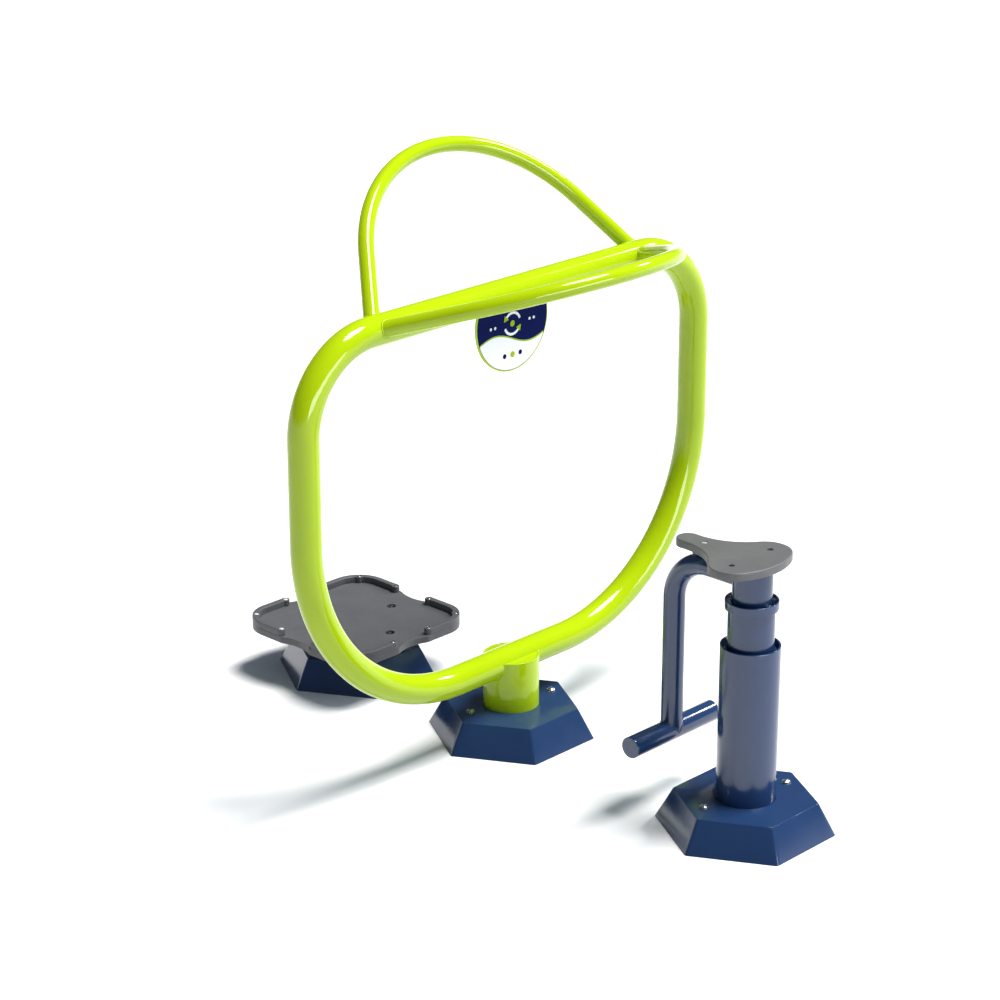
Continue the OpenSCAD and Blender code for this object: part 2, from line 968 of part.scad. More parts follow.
module seat_stop_lug() {
    lug_z = upper_low_z;
    color(steel)
        at_seat()
            translate([0, 0, lug_z])
                rotate([0, 0, -90 - lug_half_angle])
                    rotate_extrude(angle = 2 * lug_half_angle)
                        translate([upper_r, 0])
                            square([collar_in_r - upper_r - over, seat_stop_h]);
}

module at_seat_bolts() {
    for (p = seat_bolts_at) translate([p[0], p[1], 0]) children();
}

module seat_top_plate() {
    arm_l = nose_screw_y + top_plate_end + upper_r;
    color(navy)
        at_seat()
            difference() {
                translate([0, 0, top_plate_z])
                    linear_extrude(top_plate_t)
                        union() {
                            circle(r = upper_r);
                            translate([-top_plate_arm_w / 2, -upper_r])
                                square([top_plate_arm_w, arm_l]);
                            translate([
                                -rear_screw_x - top_plate_end,
                                rear_screw_y - top_plate_arm_w / 2
                            ])
                                square([2 * (rear_screw_x + top_plate_end), top_plate_arm_w]);
                        }
                at_seat_bolts() translate([0, 0, top_plate_z - over])
                    cylinder(d = seat_bolt_d, h = top_plate_t + 2 * over);
            }
}

function arc_points(centre, r, from, to, steps) = [
    for (i = [0 : steps])
        centre + r * [cos(from + (to - from) * i / steps), sin(from + (to - from) * i / steps)]
];

// right half of the saddle outline, from the nose tip round to the middle of the rear edge; the
// hollow side touches the nose and the lobe, and the rear edge runs smoothly out of the lobe
function half_saddle() =
    let (
        nose = [0, nose_y],
        lobe = [lobe_x, lobe_y],
        span = norm(lobe - nose),
        to_nose = nose_r + waist_r,
        to_lobe = lobe_r + waist_r,
        along = (to_nose * to_nose - to_lobe * to_lobe + span * span) / (2 * span),
        aside = sqrt(to_nose * to_nose - along * along),
        way = (lobe - nose) / span,
        waist = nose + along * way + aside * [-way[1], way[0]],
        rear = [0, lobe_y + sqrt((rear_r - lobe_r) * (rear_r - lobe_r) - lobe_x * lobe_x)],
        nose_turn = atan2(waist[1] - nose[1], waist[0] - nose[0]),
        waist_turn = atan2(lobe[1] - waist[1], lobe[0] - waist[0]) + 360,
        rear_turn = atan2(lobe[1] - rear[1], lobe[0] - rear[0])
    )
    concat(
        arc_points(nose, nose_r, 90, nose_turn, 12),
        arc_points(waist, waist_r, nose_turn + 180, waist_turn, 12),
        arc_points(lobe, lobe_r, waist_turn - 180, rear_turn, 18),
        arc_points(rear, rear_r, rear_turn, -90, 8)
    );

function mirrored(points) = [
    for (i = [len(points) - 2 : -1 : 1]) [-points[i][0], points[i][1]]
];

module seat_pan() {
    half = half_saddle();
    color(seat_grey)
        at_seat()
            difference() {
                translate([0, 0, seat_z])
                    linear_extrude(seat_t) polygon(concat(half, mirrored(half)));
                at_seat_bolts() {
                    translate([0, 0, seat_z - over])
                        cylinder(r = seat_bolt_d / 2 + screw_room, h = seat_t + 2 * over);
                    translate([0, 0, seat_top_z - seat_sink_h])
                        cylinder(d = seat_sink_d, h = seat_sink_h + over);
                }
            }
}

module seat_bolts() {
    head_z = seat_top_z - seat_sink_h;
    color(steel)
        at_seat()
            at_seat_bolts() {
                translate([0, 0, top_plate_z]) cylinder(d = seat_bolt_d, h = head_z - top_plate_z);
                translate([0, 0, head_z])
                    difference() {
                        cylinder(d = seat_head_d, h = seat_head_h);
                        translate([0, 0, seat_head_h / 2])
                            cylinder(d = cover_socket_d, h = seat_head_h, $fn = 6);
                    }
            }
}

// the bent arm swept by a disc of radius r: level run, bend and upright
module arm_sweep(r) {
    level_l = foot_reach - foot_bend_r;
    upright_l = foot_arm_z - foot_bend_r - foot_bar_z;
    translate([0, 0, foot_arm_z]) rotate([-90, 0, 0]) cylinder(r = r, h = level_l);
    translate([0, level_l, foot_arm_z - foot_bend_r])
        rotate([0, 0, 90]) quarter_bend(foot_bend_r, r);
    translate([0, foot_reach, foot_bar_z]) cylinder(r = r, h = upright_l);
}

module footrest_arm() {
    color(navy)
        at_seat()
            difference() {
                arm_sweep(foot_r);
                arm_sweep(foot_r - foot_tube_t);
                cylinder(r = upper_r, h = seat_top_z);
                translate([0, foot_reach, foot_bar_z]) bar_along_x(foot_r, foot_bar_l);
            }
}

module footrest_bar() {
    tube_l = foot_bar_l - 2 * foot_cap_t;
    color(navy)
        at_seat()
            translate([0, foot_reach, foot_bar_z])
                difference() {
                    bar_along_x(foot_r, tube_l / 2);
                    bar_along_x(foot_r - foot_tube_t, foot_bar_l);
                }
}

module footrest_end_plates() {
    color(navy)
        at_seat()
            for (side = [0, 1])
                mirror([side, 0, 0])
                    translate([foot_bar_l / 2 - foot_cap_t, foot_reach, foot_bar_z])
                        rotate([0, 90, 0]) cylinder(r = foot_r, h = foot_cap_t);
}

module seat_base_cover() {
    color(navy) at_seat() base_cover();
}

// Cover fixings on all three stations

module cover_pillars() {
    pillar_h = cover_h - cover_t - base_t;
    color(zinc)
        at_stations()
            at_cover_screws()
                translate([0, 0, base_t])
                    difference() {
                        cylinder(d = pillar_d, h = pillar_h);
                        translate([0, 0, pillar_h + cover_t - cover_screw_l - over])
                            cylinder(d = cover_screw_d, h = cover_screw_l + 2 * over);
                    }
}

module cover_screws() {
    color(steel)
        at_stations()
            at_cover_screws() {
                translate([0, 0, cover_h]) domed_head(cover_head_d, cover_head_h, cover_socket_d);
                translate([0, 0, cover_h - cover_screw_l])
                    cylinder(d = cover_screw_d, h = cover_screw_l);
            }
}

loop_base_plate();
loop_base_gussets();
loop_post();
loop_post_cap();
loop_frame();
rear_arch();
front_arch();
sign_plate();
sign_faces();
loop_base_cover();
platform_base_plate();
platform_base_gussets();
platform_post();
platform_bearing_housing();
platform_outer_races();
platform_inner_races();
platform_ball_cages();
platform_balls();
platform_bearing_spacer();
platform_circlip();
platform_spindle();
platform_spindle_nut();
platform_stop_ring();
platform_stop_pin();
platform_hub_plate();
platform_deck();
platform_corner_rims();
platform_rim_screws();
platform_deck_screws();
platform_base_cover();
seat_base_plate();
seat_base_gussets();
seat_lower_post();
seat_centring_rings();
seat_middle_post();
seat_collar();
seat_outer_races();
seat_inner_races();
seat_ball_cages();
seat_balls();
seat_bearing_spacer();
seat_circlip();
seat_spindle();
seat_spindle_nut();
seat_upper_tube();
seat_stop_ring();
seat_stop_lug();
seat_top_plate();
seat_pan();
seat_bolts();
footrest_arm();
footrest_bar();
footrest_end_plates();
seat_base_cover();
cover_pillars();
cover_screws();
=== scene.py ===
import json
import math

import bmesh
import bpy
import numpy as np
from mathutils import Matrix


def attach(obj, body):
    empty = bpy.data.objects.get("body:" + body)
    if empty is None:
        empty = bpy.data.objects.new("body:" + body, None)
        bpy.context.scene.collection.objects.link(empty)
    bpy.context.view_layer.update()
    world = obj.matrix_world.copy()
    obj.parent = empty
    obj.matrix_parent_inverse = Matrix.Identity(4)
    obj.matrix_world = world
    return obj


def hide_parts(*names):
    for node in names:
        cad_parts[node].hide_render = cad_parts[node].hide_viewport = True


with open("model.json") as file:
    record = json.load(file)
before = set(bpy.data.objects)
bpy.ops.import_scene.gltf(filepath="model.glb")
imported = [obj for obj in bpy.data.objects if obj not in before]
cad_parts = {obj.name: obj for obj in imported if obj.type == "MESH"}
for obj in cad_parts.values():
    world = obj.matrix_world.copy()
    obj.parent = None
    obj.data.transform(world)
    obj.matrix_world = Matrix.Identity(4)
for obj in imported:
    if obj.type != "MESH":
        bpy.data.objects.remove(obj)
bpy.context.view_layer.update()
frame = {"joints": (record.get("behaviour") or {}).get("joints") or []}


# Viewpoint. The set is seen from the seat's side, from left of the loop and well above a user's
# head, through a long lens that keeps the uprights nearly parallel.
def put(name, data):
    """A new object with the given data, linked into the scene."""
    made = bpy.data.objects.new(name, data)
    bpy.context.scene.collection.objects.link(made)
    return made


eye_place, eye_down, eye_turn = (-3.787, -3.6272, 2.452), 20.412, -45.99
lens_mm, sensor_mm, sight = 101.67, 36, 300
eye = put("camera", bpy.data.cameras.new("camera"))
eye.location = eye_place
eye.rotation_euler = (math.radians(90 - eye_down), 0, math.radians(eye_turn))
eye.data.lens = lens_mm
eye.data.sensor_width = sensor_mm
eye.data.clip_end = sight
bpy.context.scene.camera = eye
bpy.context.scene.view_settings.view_transform = "Standard"


# Studio. A white sweep of floor runs to the horizon under a dark upper room, which keeps glossy
# top faces deep in colour. A broad soft lamp stands high on the right and a weak one lower and
# further back, so the shadows are soft and fall to the left.
def hue(code):
    """Linear red, green, blue and alpha of an sRGB hex colour."""
    c = np.array([int(code[i:i + 2], 16) for i in (1, 3, 5)]) / 255
    c = np.where(c <= 0.04045, c / 12.92, ((c + 0.055) / 1.055) ** 2.4)
    return (*c, 1.0)


def add(tree, kind, sockets=None, **settings):
    """Adds one node with its settings; each named socket gets a value or a link."""
    made = tree.nodes.new(kind)
    for name, value in settings.items():
        setattr(made, name, value)
    for name, value in (sockets or {}).items():
        if isinstance(value, bpy.types.NodeSocket):
            tree.links.new(value, made.inputs[name])
        else:
            made.inputs[name].default_value = value
    return made


def blank(owner):
    """The node tree of a world or a material, emptied."""
    owner.use_nodes = True
    owner.node_tree.nodes.clear()
    return owner.node_tree


haze_top = 0.14
window_way, window_edge, lintel_edge, window_gain = (-0.03, -1.0, 0.0), (0.88, 0.90), (0.21, 0.23), 9.0
fill_way, fill_gain, fill_least = (0.545, -0.839, 0), 1.45, 0.14
room = bpy.data.worlds.new("studio_room")
bpy.context.scene.world = room
tree = blank(room)
path = add(tree, "ShaderNodeLightPath")
way = add(tree, "ShaderNodeTexCoord").outputs["Generated"]
height = add(tree, "ShaderNodeSeparateXYZ", {0: way}).outputs["Z"]
# what gloss mirrors: white at the horizon, fading over eight degrees to the dark upper room
haze = add(tree, "ShaderNodeMapRange", {0: height, 1: 0.0, 2: haze_top, 3: 1.0, 4: 0.0},
           interpolation_type="SMOOTHSTEP")
# and a bright low window in front of the loop, which shows as a pale band down its bends
window = add(tree, "ShaderNodeVectorMath", {0: way, 1: window_way}, operation="DOT_PRODUCT")
window = add(tree, "ShaderNodeMapRange", {0: window.outputs["Value"], 1: window_edge[0],
                                          2: window_edge[1], 3: 0.0, 4: 1.0})
lintel = add(tree, "ShaderNodeMapRange", {0: height, 1: lintel_edge[0], 2: lintel_edge[1],
                                          3: 1.0, 4: 0.0})
window = add(tree, "ShaderNodeMath", {0: window.outputs[0], 1: lintel.outputs[0]},
             operation="MULTIPLY")
pale = add(tree, "ShaderNodeMath", {0: window.outputs[0], 1: haze.outputs[0]},
           operation="MAXIMUM")
glow = add(tree, "ShaderNodeMath", {0: window.outputs[0], 1: window_gain, 2: 1.0},
           operation="MULTIPLY_ADD")
upper = add(tree, "ShaderNodeMix", {0: pale.outputs[0], 6: hue("#4a505c"), 7: hue("#ffffff")},
            data_type="RGBA")
seen = add(tree, "ShaderNodeBackground", {"Color": upper.outputs[2], "Strength": glow.outputs[0]})
# what lights matt faces beside the lamps: a cool fill from the right, which falls off with the
# square of the cosine to its middle, and a faint one from all round
side = add(tree, "ShaderNodeVectorMath", {0: way, 1: fill_way}, operation="DOT_PRODUCT")
side = add(tree, "ShaderNodeMath", {0: side.outputs["Value"], 1: 0.0}, operation="MAXIMUM")
side = add(tree, "ShaderNodeMath", {0: side.outputs[0], 1: 2.0}, operation="POWER")
side = add(tree, "ShaderNodeMath", {0: side.outputs[0], 1: fill_gain, 2: fill_least},
           operation="MULTIPLY_ADD")
fill = add(tree, "ShaderNodeBackground", {"Color": hue("#d4e5ff"), "Strength": side.outputs[0]})
white = add(tree, "ShaderNodeBackground", {"Color": hue("#ffffff"), "Strength": 1.0})
gloss = add(tree, "ShaderNodeMath", {0: path.outputs["Is Glossy Ray"],
                                     1: path.outputs["Is Transmission Ray"]}, operation="MAXIMUM")
lit = add(tree, "ShaderNodeMixShader", {0: gloss.outputs[0], 1: fill.outputs[0], 2: seen.outputs[0]})
both = add(tree, "ShaderNodeMixShader", {0: path.outputs["Is Camera Ray"], 1: lit.outputs[0],
                                         2: white.outputs[0]})
add(tree, "ShaderNodeOutputWorld", {"Surface": both.outputs[0]})

# name, strength, spread in degrees, tint and the way to each lamp
for name, power, spread, tint, toward in (
        ("soft_lamp", 4.2, 24, (1.0, 0.985, 0.96), (0.29, -0.27, 1.0)),
        ("side_lamp", 1.0, 8, (1.0, 1.0, 1.0), (0.77, -0.15, 0.60))):
    lamp = put(name, bpy.data.lights.new(name, "SUN"))
    lamp.data.energy = power
    lamp.data.angle = math.radians(spread)
    lamp.data.color = tint
    toward = np.array(toward) / np.linalg.norm(toward)
    lamp.rotation_euler = (math.acos(toward[2]), 0, math.atan2(toward[1], toward[0]) + math.pi / 2)

half_floor = 60
floor_mesh = bpy.data.meshes.new("floor")
floor_mesh.from_pydata([(x * half_floor, y * half_floor, 0)
                        for x, y in ((-1, -1), (1, -1), (1, 1), (-1, 1))], [], [(0, 1, 2, 3)])
floor = put("floor", floor_mesh)
# the paper bounces less light than it shows, so that it stays white without flooding the set
paper = bpy.data.materials.new("white_sweep_paper")
tree = blank(paper)
path = add(tree, "ShaderNodeLightPath")
matt = add(tree, "ShaderNodeBsdfDiffuse", {"Color": hue("#d2d2d2")})
bright = add(tree, "ShaderNodeBsdfDiffuse", {"Color": hue("#fdfdfd")})
shown = add(tree, "ShaderNodeMath", {0: path.outputs["Is Camera Ray"],
                                     1: path.outputs["Is Glossy Ray"]}, operation="MAXIMUM")
shown = add(tree, "ShaderNodeMath", {0: shown.outputs[0],
                                     1: path.outputs["Is Transmission Ray"]}, operation="MAXIMUM")
sheet = add(tree, "ShaderNodeMixShader", {0: shown.outputs[0], 1: matt.outputs[0],
                                          2: bright.outputs[0]})
add(tree, "ShaderNodeOutputMaterial", {"Surface": sheet.outputs[0]})
floor_mesh.materials.append(paper)


# Loop. One round steel tube, 60.3 mm across, is bent into a closed loop with two tight upper and
# two wide lower bends, butt welded under the post and powder coated in glossy lime.
def new_material(name, base, roughness, ior=1.5, metallic=0.0):
    """A Principled material with its plain sockets set; returns it with its tree, its shader and
    the piece's Object coordinates."""
    made = bpy.data.materials.new(name)
    tree = blank(made)
    shader = add(tree, "ShaderNodeBsdfPrincipled", {
        "Base Color": base, "Roughness": roughness, "IOR": ior, "Metallic": metallic})
    add(tree, "ShaderNodeOutputMaterial", {"Surface": shader.outputs[0]})
    return made, tree, shader, add(tree, "ShaderNodeTexCoord").outputs["Object"]


def powder_coat(name, base, thin, thick, ior, dullness):
    """Thermoset polyester powder coat: a hard gloss skin whose flow leaves a faint orange peel of
    about 2 mm waves, drawn here at 7 mm so that it shows. The film is a little lighter where it
    is thin and deeper where it pooled, the pigment has a fine grain, and the gloss drifts by a
    third either side of dullness, as on a surface that has been handled and rained on."""
    made, tree, shader, place = new_material(name, hue(base), dullness, ior)
    film_mm, grain_mm, rub_mm, peel_mm = 120, 1.5, 50, 7
    grain_span, rub_span, peel_share, peel_rise = 0.045, 0.33, 0.18, 0.00012
    film = add(tree, "ShaderNodeTexNoise", {"Vector": place, "Scale": 1000 / film_mm, "Detail": 3.0})
    tone = add(tree, "ShaderNodeMix", {0: film.outputs["Fac"], 6: hue(thin), 7: hue(thick)},
               data_type="RGBA")
    grain = add(tree, "ShaderNodeTexNoise", {"Vector": place, "Scale": 1000 / grain_mm,
                                             "Detail": 1.0})
    level = add(tree, "ShaderNodeMapRange", {0: grain.outputs["Fac"], 3: 1 - grain_span,
                                             4: 1 + grain_span})
    speck = add(tree, "ShaderNodeVectorMath", {0: tone.outputs[2], "Scale": level.outputs[0]},
                operation="SCALE")
    tree.links.new(speck.outputs[0], shader.inputs["Base Color"])
    rub = add(tree, "ShaderNodeTexNoise", {"Vector": place, "Scale": 1000 / rub_mm, "Detail": 4.0})
    dull = add(tree, "ShaderNodeMapRange", {0: rub.outputs["Fac"], 1: 0.35, 2: 0.75,
                                            3: dullness * (1 - rub_span),
                                            4: dullness * (1 + rub_span)})
    tree.links.new(dull.outputs[0], shader.inputs["Roughness"])
    peel = add(tree, "ShaderNodeTexNoise", {"Vector": place, "Scale": 1000 / peel_mm, "Detail": 1.0})
    bump = add(tree, "ShaderNodeBump", {"Strength": peel_share, "Distance": peel_rise,
                                        "Height": peel.outputs["Fac"]})
    tree.links.new(bump.outputs[0], shader.inputs["Normal"])
    return made


lime_coat = powder_coat("lime_powder_coat", "#b1cf06", "#b6d308", "#acc805", 1.45, 0.09)


def grid_quads(nu, nv, wrap_u=False):
    """Corner numbers of the quads between neighbours on a grid of nu by nv points, closed round
    v, and round u where asked."""
    u, v = np.meshgrid(np.arange(nu if wrap_u else nu - 1), np.arange(nv), indexing="ij")
    u2, v2 = (u + 1) % nu, (v + 1) % nv
    return np.stack([u * nv + v, u2 * nv + v, u2 * nv + v2, u * nv + v2], -1).reshape(-1, 4)


def shade(mesh, crease=40):
    """Smooths every face, and keeps the edges that turn by more than the crease sharp."""
    mesh.polygons.foreach_set("use_smooth", np.ones(len(mesh.polygons), bool))
    mesh.set_sharp_from_angle(angle=math.radians(crease))


def skin(name, p, wrap_u=False, crease=40):
    """A mesh over a grid of points p[u, v], or over several such grids p[k, u, v]: one quad
    between neighbours, closed round v. Points that fall together, as at a pole, are merged, and
    faces point outwards."""
    nu, nv = p.shape[-3:-1]
    grids = p.reshape(-1, nu * nv, 3)
    quads = grid_quads(nu, nv, wrap_u) + np.arange(len(grids))[:, None, None] * nu * nv
    mesh = bpy.data.meshes.new(name)
    mesh.from_pydata(grids.reshape(-1, 3).tolist(), [], quads.reshape(-1, 4).tolist())
    work = bmesh.new()
    work.from_mesh(mesh)
    bmesh.ops.remove_doubles(work, verts=work.verts, dist=2e-6)
    bmesh.ops.dissolve_degenerate(work, edges=work.edges, dist=1e-7)
    bmesh.ops.recalc_face_normals(work, faces=work.faces)
    work.to_mesh(mesh)
    work.free()
    shade(mesh, crease)
    return put(name, mesh)


def dress(piece, material, slot, body, *nodes):
    """Gives a piece its finish, lets it ride on a body and stand for CAD nodes. The slot is not used.
    """
    piece.data.materials.clear()
    piece.data.materials.append(material)
    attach(piece, body)
    if nodes:
        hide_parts(*nodes)
    return piece


def straight(a, b, n=2):
    """Points and directions of a straight run from a to b in the tube's own plane."""
    a, b = np.array(a, float), np.array(b, float)
    s = np.linspace(0, 1, n)[:, None]
    way = np.broadcast_to((b - a) / np.linalg.norm(b - a), (n, 2))
    return np.hstack([a + s * (b - a), way])


def arc(x, y, r, start, end, n=24):
    """Points of a plane arc about (x, y), from one angle to the other."""
    a = np.radians(np.linspace(start, end, n))
    return np.stack([x + r * np.cos(a), y + r * np.sin(a)], 1)


def bend(centre, r, start, end, n):
    """Points and directions of a bend: an arc, and the tangent at each of its points."""
    tangent = np.sign(end - start) * arc(0, 0, 1, start + 90, end + 90, n)
    return np.hstack([arc(*centre, r, start, end, n), tangent])


def rings(run, r, origin, ex, ev, n):
    """Circles of radius r square to a plane run: p = centre + r (cos a side + sin a across),
    where side lies in the run's plane and across is that plane's normal."""
    ex, ev, origin = (np.array(k, float) for k in (ex, ev, origin))
    across = np.cross(ex, ev)
    centre = origin + run[:, :1] * ex + run[:, 1:2] * ev
    ahead = run[:, 2:3] * ex + run[:, 3:4] * ev
    side = np.cross(ahead, across)
    a = np.linspace(0, 2 * np.pi, n, endpoint=False)
    return (centre[:, None] + r * np.cos(a)[None, :, None] * side[:, None]
            + r * np.sin(a)[None, :, None] * across)


loop_r, bar_z, low_z, half_w = 0.03015, 0.930, 0.160, 0.547
top_bend, wide_bend = 0.172, 0.394
in_top, in_low = half_w - top_bend, half_w - wide_bend
loop_run = np.vstack([
    straight((-in_low, low_z), (in_low, low_z), 3)[:-1],
    bend((in_low, low_z + wide_bend), wide_bend, -90, 0, 96),
    bend((in_top, bar_z - top_bend), top_bend, 0, 90, 56),
    bend((-in_top, bar_z - top_bend), top_bend, 90, 180, 56),
    bend((-in_low, low_z + wide_bend), wide_bend, 180, 270, 96)])
loop = skin("loop_tube", rings(loop_run, loop_r, (0, 0, 0), (1, 0, 0), (0, 0, 1), 96), wrap_u=True)
dress(loop, lime_coat, "lime_powder_coat", "ground_frame", "loop_frame")


# Handle arches. Two lighter tubes, 31.8 mm across, rolled to one bend with straight legs. Their
# ends are fish-mouthed to sit on the top bar, and a weld runs round each of the four joints.
def slide_on(points, way, axis_at, axis_along, r):
    """Slides points along a direction until they lie on a round bar: the first root of
    |q + s e| = r, where q and e are the point's offset and the direction square to the bar."""
    axis_along, way = np.array(axis_along, float), np.array(way, float)
    q = points - np.array(axis_at)
    q = q - (q @ axis_along)[:, None] * axis_along
    e = way - (way @ axis_along) * axis_along
    qe, ee = q @ e, e @ e
    s = (-qe - np.sqrt(qe ** 2 - ee * ((q ** 2).sum(1) - r ** 2))) / ee
    return points + s[:, None] * way


def cope(p, end, ahead, bar_at, bar_along, bar_r, sink=0.001):
    """Fish-mouths one end of a run of rings: slides its last ring along the tube on to a round
    bar and a little way in. Returns the seam on the bar's face."""
    back_off = 0.06
    ahead = np.array(ahead, float)
    clear = p[end] - ahead * back_off
    p[end] = slide_on(clear, ahead, bar_at, bar_along, bar_r - sink)
    return slide_on(clear, ahead, bar_at, bar_along, bar_r)


def weld(name, seam, lean, r, material, slot, body):
    """A fillet bead laid round a closed seam: a thin tube whose radius swells every 4 mm or so,
    as overlapping weld pools do, softened by the paint over them."""
    pool, least_pools, swell_share = 0.004, 8, 0.09
    ahead = np.roll(seam, -1, 0) - np.roll(seam, 1, 0)
    ahead /= np.linalg.norm(ahead, axis=1)[:, None]
    side = np.array(lean, float) - (ahead @ np.array(lean, float))[:, None] * ahead
    side /= np.linalg.norm(side, axis=1)[:, None]
    over = np.cross(ahead, side)
    around = np.linalg.norm(np.roll(seam, -1, 0) - seam, axis=1).sum()
    pools = max(least_pools, round(around / pool))
    beat = np.cos(np.linspace(0, 2 * np.pi * pools, len(seam), endpoint=False))
    swell = r * (1 + swell_share * beat)[:, None, None]
    a = np.linspace(0, 2 * np.pi, 14, endpoint=False)[None, :, None]
    p = seam[:, None] + swell * (np.cos(a) * side[:, None] + np.sin(a) * over[:, None])
    return dress(skin(name, p, wrap_u=True, crease=60), material, slot, body)


def resample(ring, n):
    """n points spaced evenly round a closed ring of points."""
    loop_pts = np.vstack([ring, ring[:1]])
    step = np.r_[0, np.cumsum(np.linalg.norm(np.diff(loop_pts, axis=0), axis=1))]
    at = np.linspace(0, step[-1], n, endpoint=False)
    return np.stack([np.interp(at, step, loop_pts[:, k]) for k in range(3)], 1)


def close_ends(p):
    """Adds to a run of rings the centre of its first and of its last one, as closing poles."""
    first, last = (np.broadcast_to(p[k].mean(0), p[:1].shape) for k in (0, -1))
    return np.concatenate([first, p, last])


arch_r, arch_bend, arch_reach, leg_lean, leg_rings, arch_bead = 0.0159, 0.328, 0.327, 27.6, 5, 0.0019
lean_sin, lean_cos = math.sin(math.radians(leg_lean)), math.cos(math.radians(leg_lean))
lift = arch_reach - arch_bend
leg = (lift + arch_bend * lean_sin) / lean_cos
foot_x = arch_bend * lean_cos + leg * lean_sin
crown = bend((0, lift), arch_bend, leg_lean, 180 - leg_lean, 150)
arch_run = np.vstack([straight((foot_x, 0), crown[0, :2], leg_rings + 1)[:-1], crown,
                      straight(crown[-1, :2], (-foot_x, 0), leg_rings + 1)[1:]])
for name, tilt, forward in (("rear_arch", 50, 1), ("front_arch", 18, -1)):
    t = math.radians(tilt)
    rise = np.array([0, forward * math.cos(t), math.sin(t)])
    p = rings(arch_run, arch_r, (0, 0, bar_z), (1, 0, 0), rise, 64)
    seams = []
    for end, way in ((0, -arch_run[0, 2:]), (-1, arch_run[-1, 2:])):
        ahead = way[0] * np.array([1, 0, 0]) + way[1] * rise
        seams.append((cope(p, end, ahead, (0, 0, bar_z), (1, 0, 0), loop_r), ahead))
    # the rings of each straight leg are spread evenly from the coped end to the crown
    share = np.linspace(0, 1, leg_rings + 1)[:, None, None]
    for first in (0, len(p) - leg_rings - 1):
        p[first:first + leg_rings + 1] = p[first] + share * (p[first + leg_rings] - p[first])
    dress(skin(name + "_tube", close_ends(p)), lime_coat, "lime_powder_coat", "ground_frame", name)
    for side, (seam, ahead) in zip("ab", seams):
        weld(name + "_weld_" + side, resample(seam, 168), ahead, arch_bead, lime_coat,
             "lime_powder_coat", "ground_frame")


# Loop post. A 114.3 mm tube with a wall of 3.6 mm, notched at the top for the loop's bottom run
# and closed by a cap plate in two pieces, welded in just under the rim.
def soften(corners, radius, steps=5):
    """A plane outline with each corner rounded: an arc of the given radius, tangent to both
    sides, in place of the corner."""
    c = np.array(corners, float)
    radius = np.broadcast_to(np.array(radius, float), (len(c),))
    a = np.roll(c, 1, 0) - c
    b = np.roll(c, -1, 0) - c
    a /= np.linalg.norm(a, axis=1)[:, None]
    b /= np.linalg.norm(b, axis=1)[:, None]
    half = np.arccos(np.clip((a * b).sum(1), -1, 1)) / 2
    mid = (a + b) / np.linalg.norm(a + b, axis=1)[:, None]
    centre = c + mid * (radius / np.sin(half))[:, None]
    go = (c + a * (radius / np.tan(half))[:, None] - centre) / radius[:, None]
    stop = (c + b * (radius / np.tan(half))[:, None] - centre) / radius[:, None]
    open_angle = np.pi - 2 * half
    s = np.linspace(0, 1, steps + 1)[None, :, None]
    w = open_angle[:, None, None]
    curve = (np.sin((1 - s) * w) * go[:, None] + np.sin(s * w) * stop[:, None]) / np.sin(w)
    return (centre[:, None] + radius[:, None, None] * curve).reshape(-1, 2)


def turned(name, profile, at=(0, 0), level=False):
    """A body of revolution: each (r, s) of the profile is carried round a full circle about the
    vertical through the point (x, y), or about the level line along X through (y, z)."""
    profile = np.array(profile, float)
    a = np.linspace(0, 2 * np.pi, 96, endpoint=False)
    p = np.stack([at[0] + profile[:, :1] * np.cos(a), at[1] + profile[:, :1] * np.sin(a),
                  profile[:, 1:2] + 0 * a], -1)
    return skin(name, np.roll(p, 1, -1) if level else p, wrap_u=True)


def tube_wall(outer, inner, low, high, lip=0.0008):
    """Half section of a tube with its edges broken by the paint's radius."""
    return soften([(inner, low), (outer, low), (outer, high), (inner, high)], lip)


post_r, post_in, post_low, post_top = 0.05715, 0.05355, 0.010, 0.170
cap_low, cap_top, pin_hole, post_bead = 0.164, 0.169, 0.0006, 0.0017
loop_post = turned("loop_post_tube", tube_wall(post_r, post_in, post_low, post_top))
dress(loop_post, lime_coat, "lime_powder_coat", "ground_frame", "loop_post")
cap = turned("loop_post_cap_plate", soften(
    [(pin_hole, cap_low), (post_in, cap_low), (post_in, cap_top), (pin_hole, cap_top)],
    (0.0002, 0.0004, 0.0004, 0.0002)))
dress(cap, lime_coat, "lime_powder_coat", "ground_frame", "loop_post_cap")


def saddle_seam(sign):
    """Where the level bottom run enters the upright post: the run's circle carried out to the
    post's face, x = sqrt(post_r^2 - y^2), and cut off just under the post's rim."""
    y, z = arc(0, low_z, loop_r, 0, 360, 161)[:-1].T
    return np.stack([sign * np.sqrt(post_r ** 2 - y ** 2), y, np.minimum(z, post_top - 0.0005)], 1)


for side, sign in (("left", -1), ("right", 1)):
    weld("loop_post_weld_" + side, saddle_seam(sign), (sign, 0, 0), post_bead, lime_coat,
         "lime_powder_coat", "ground_frame")


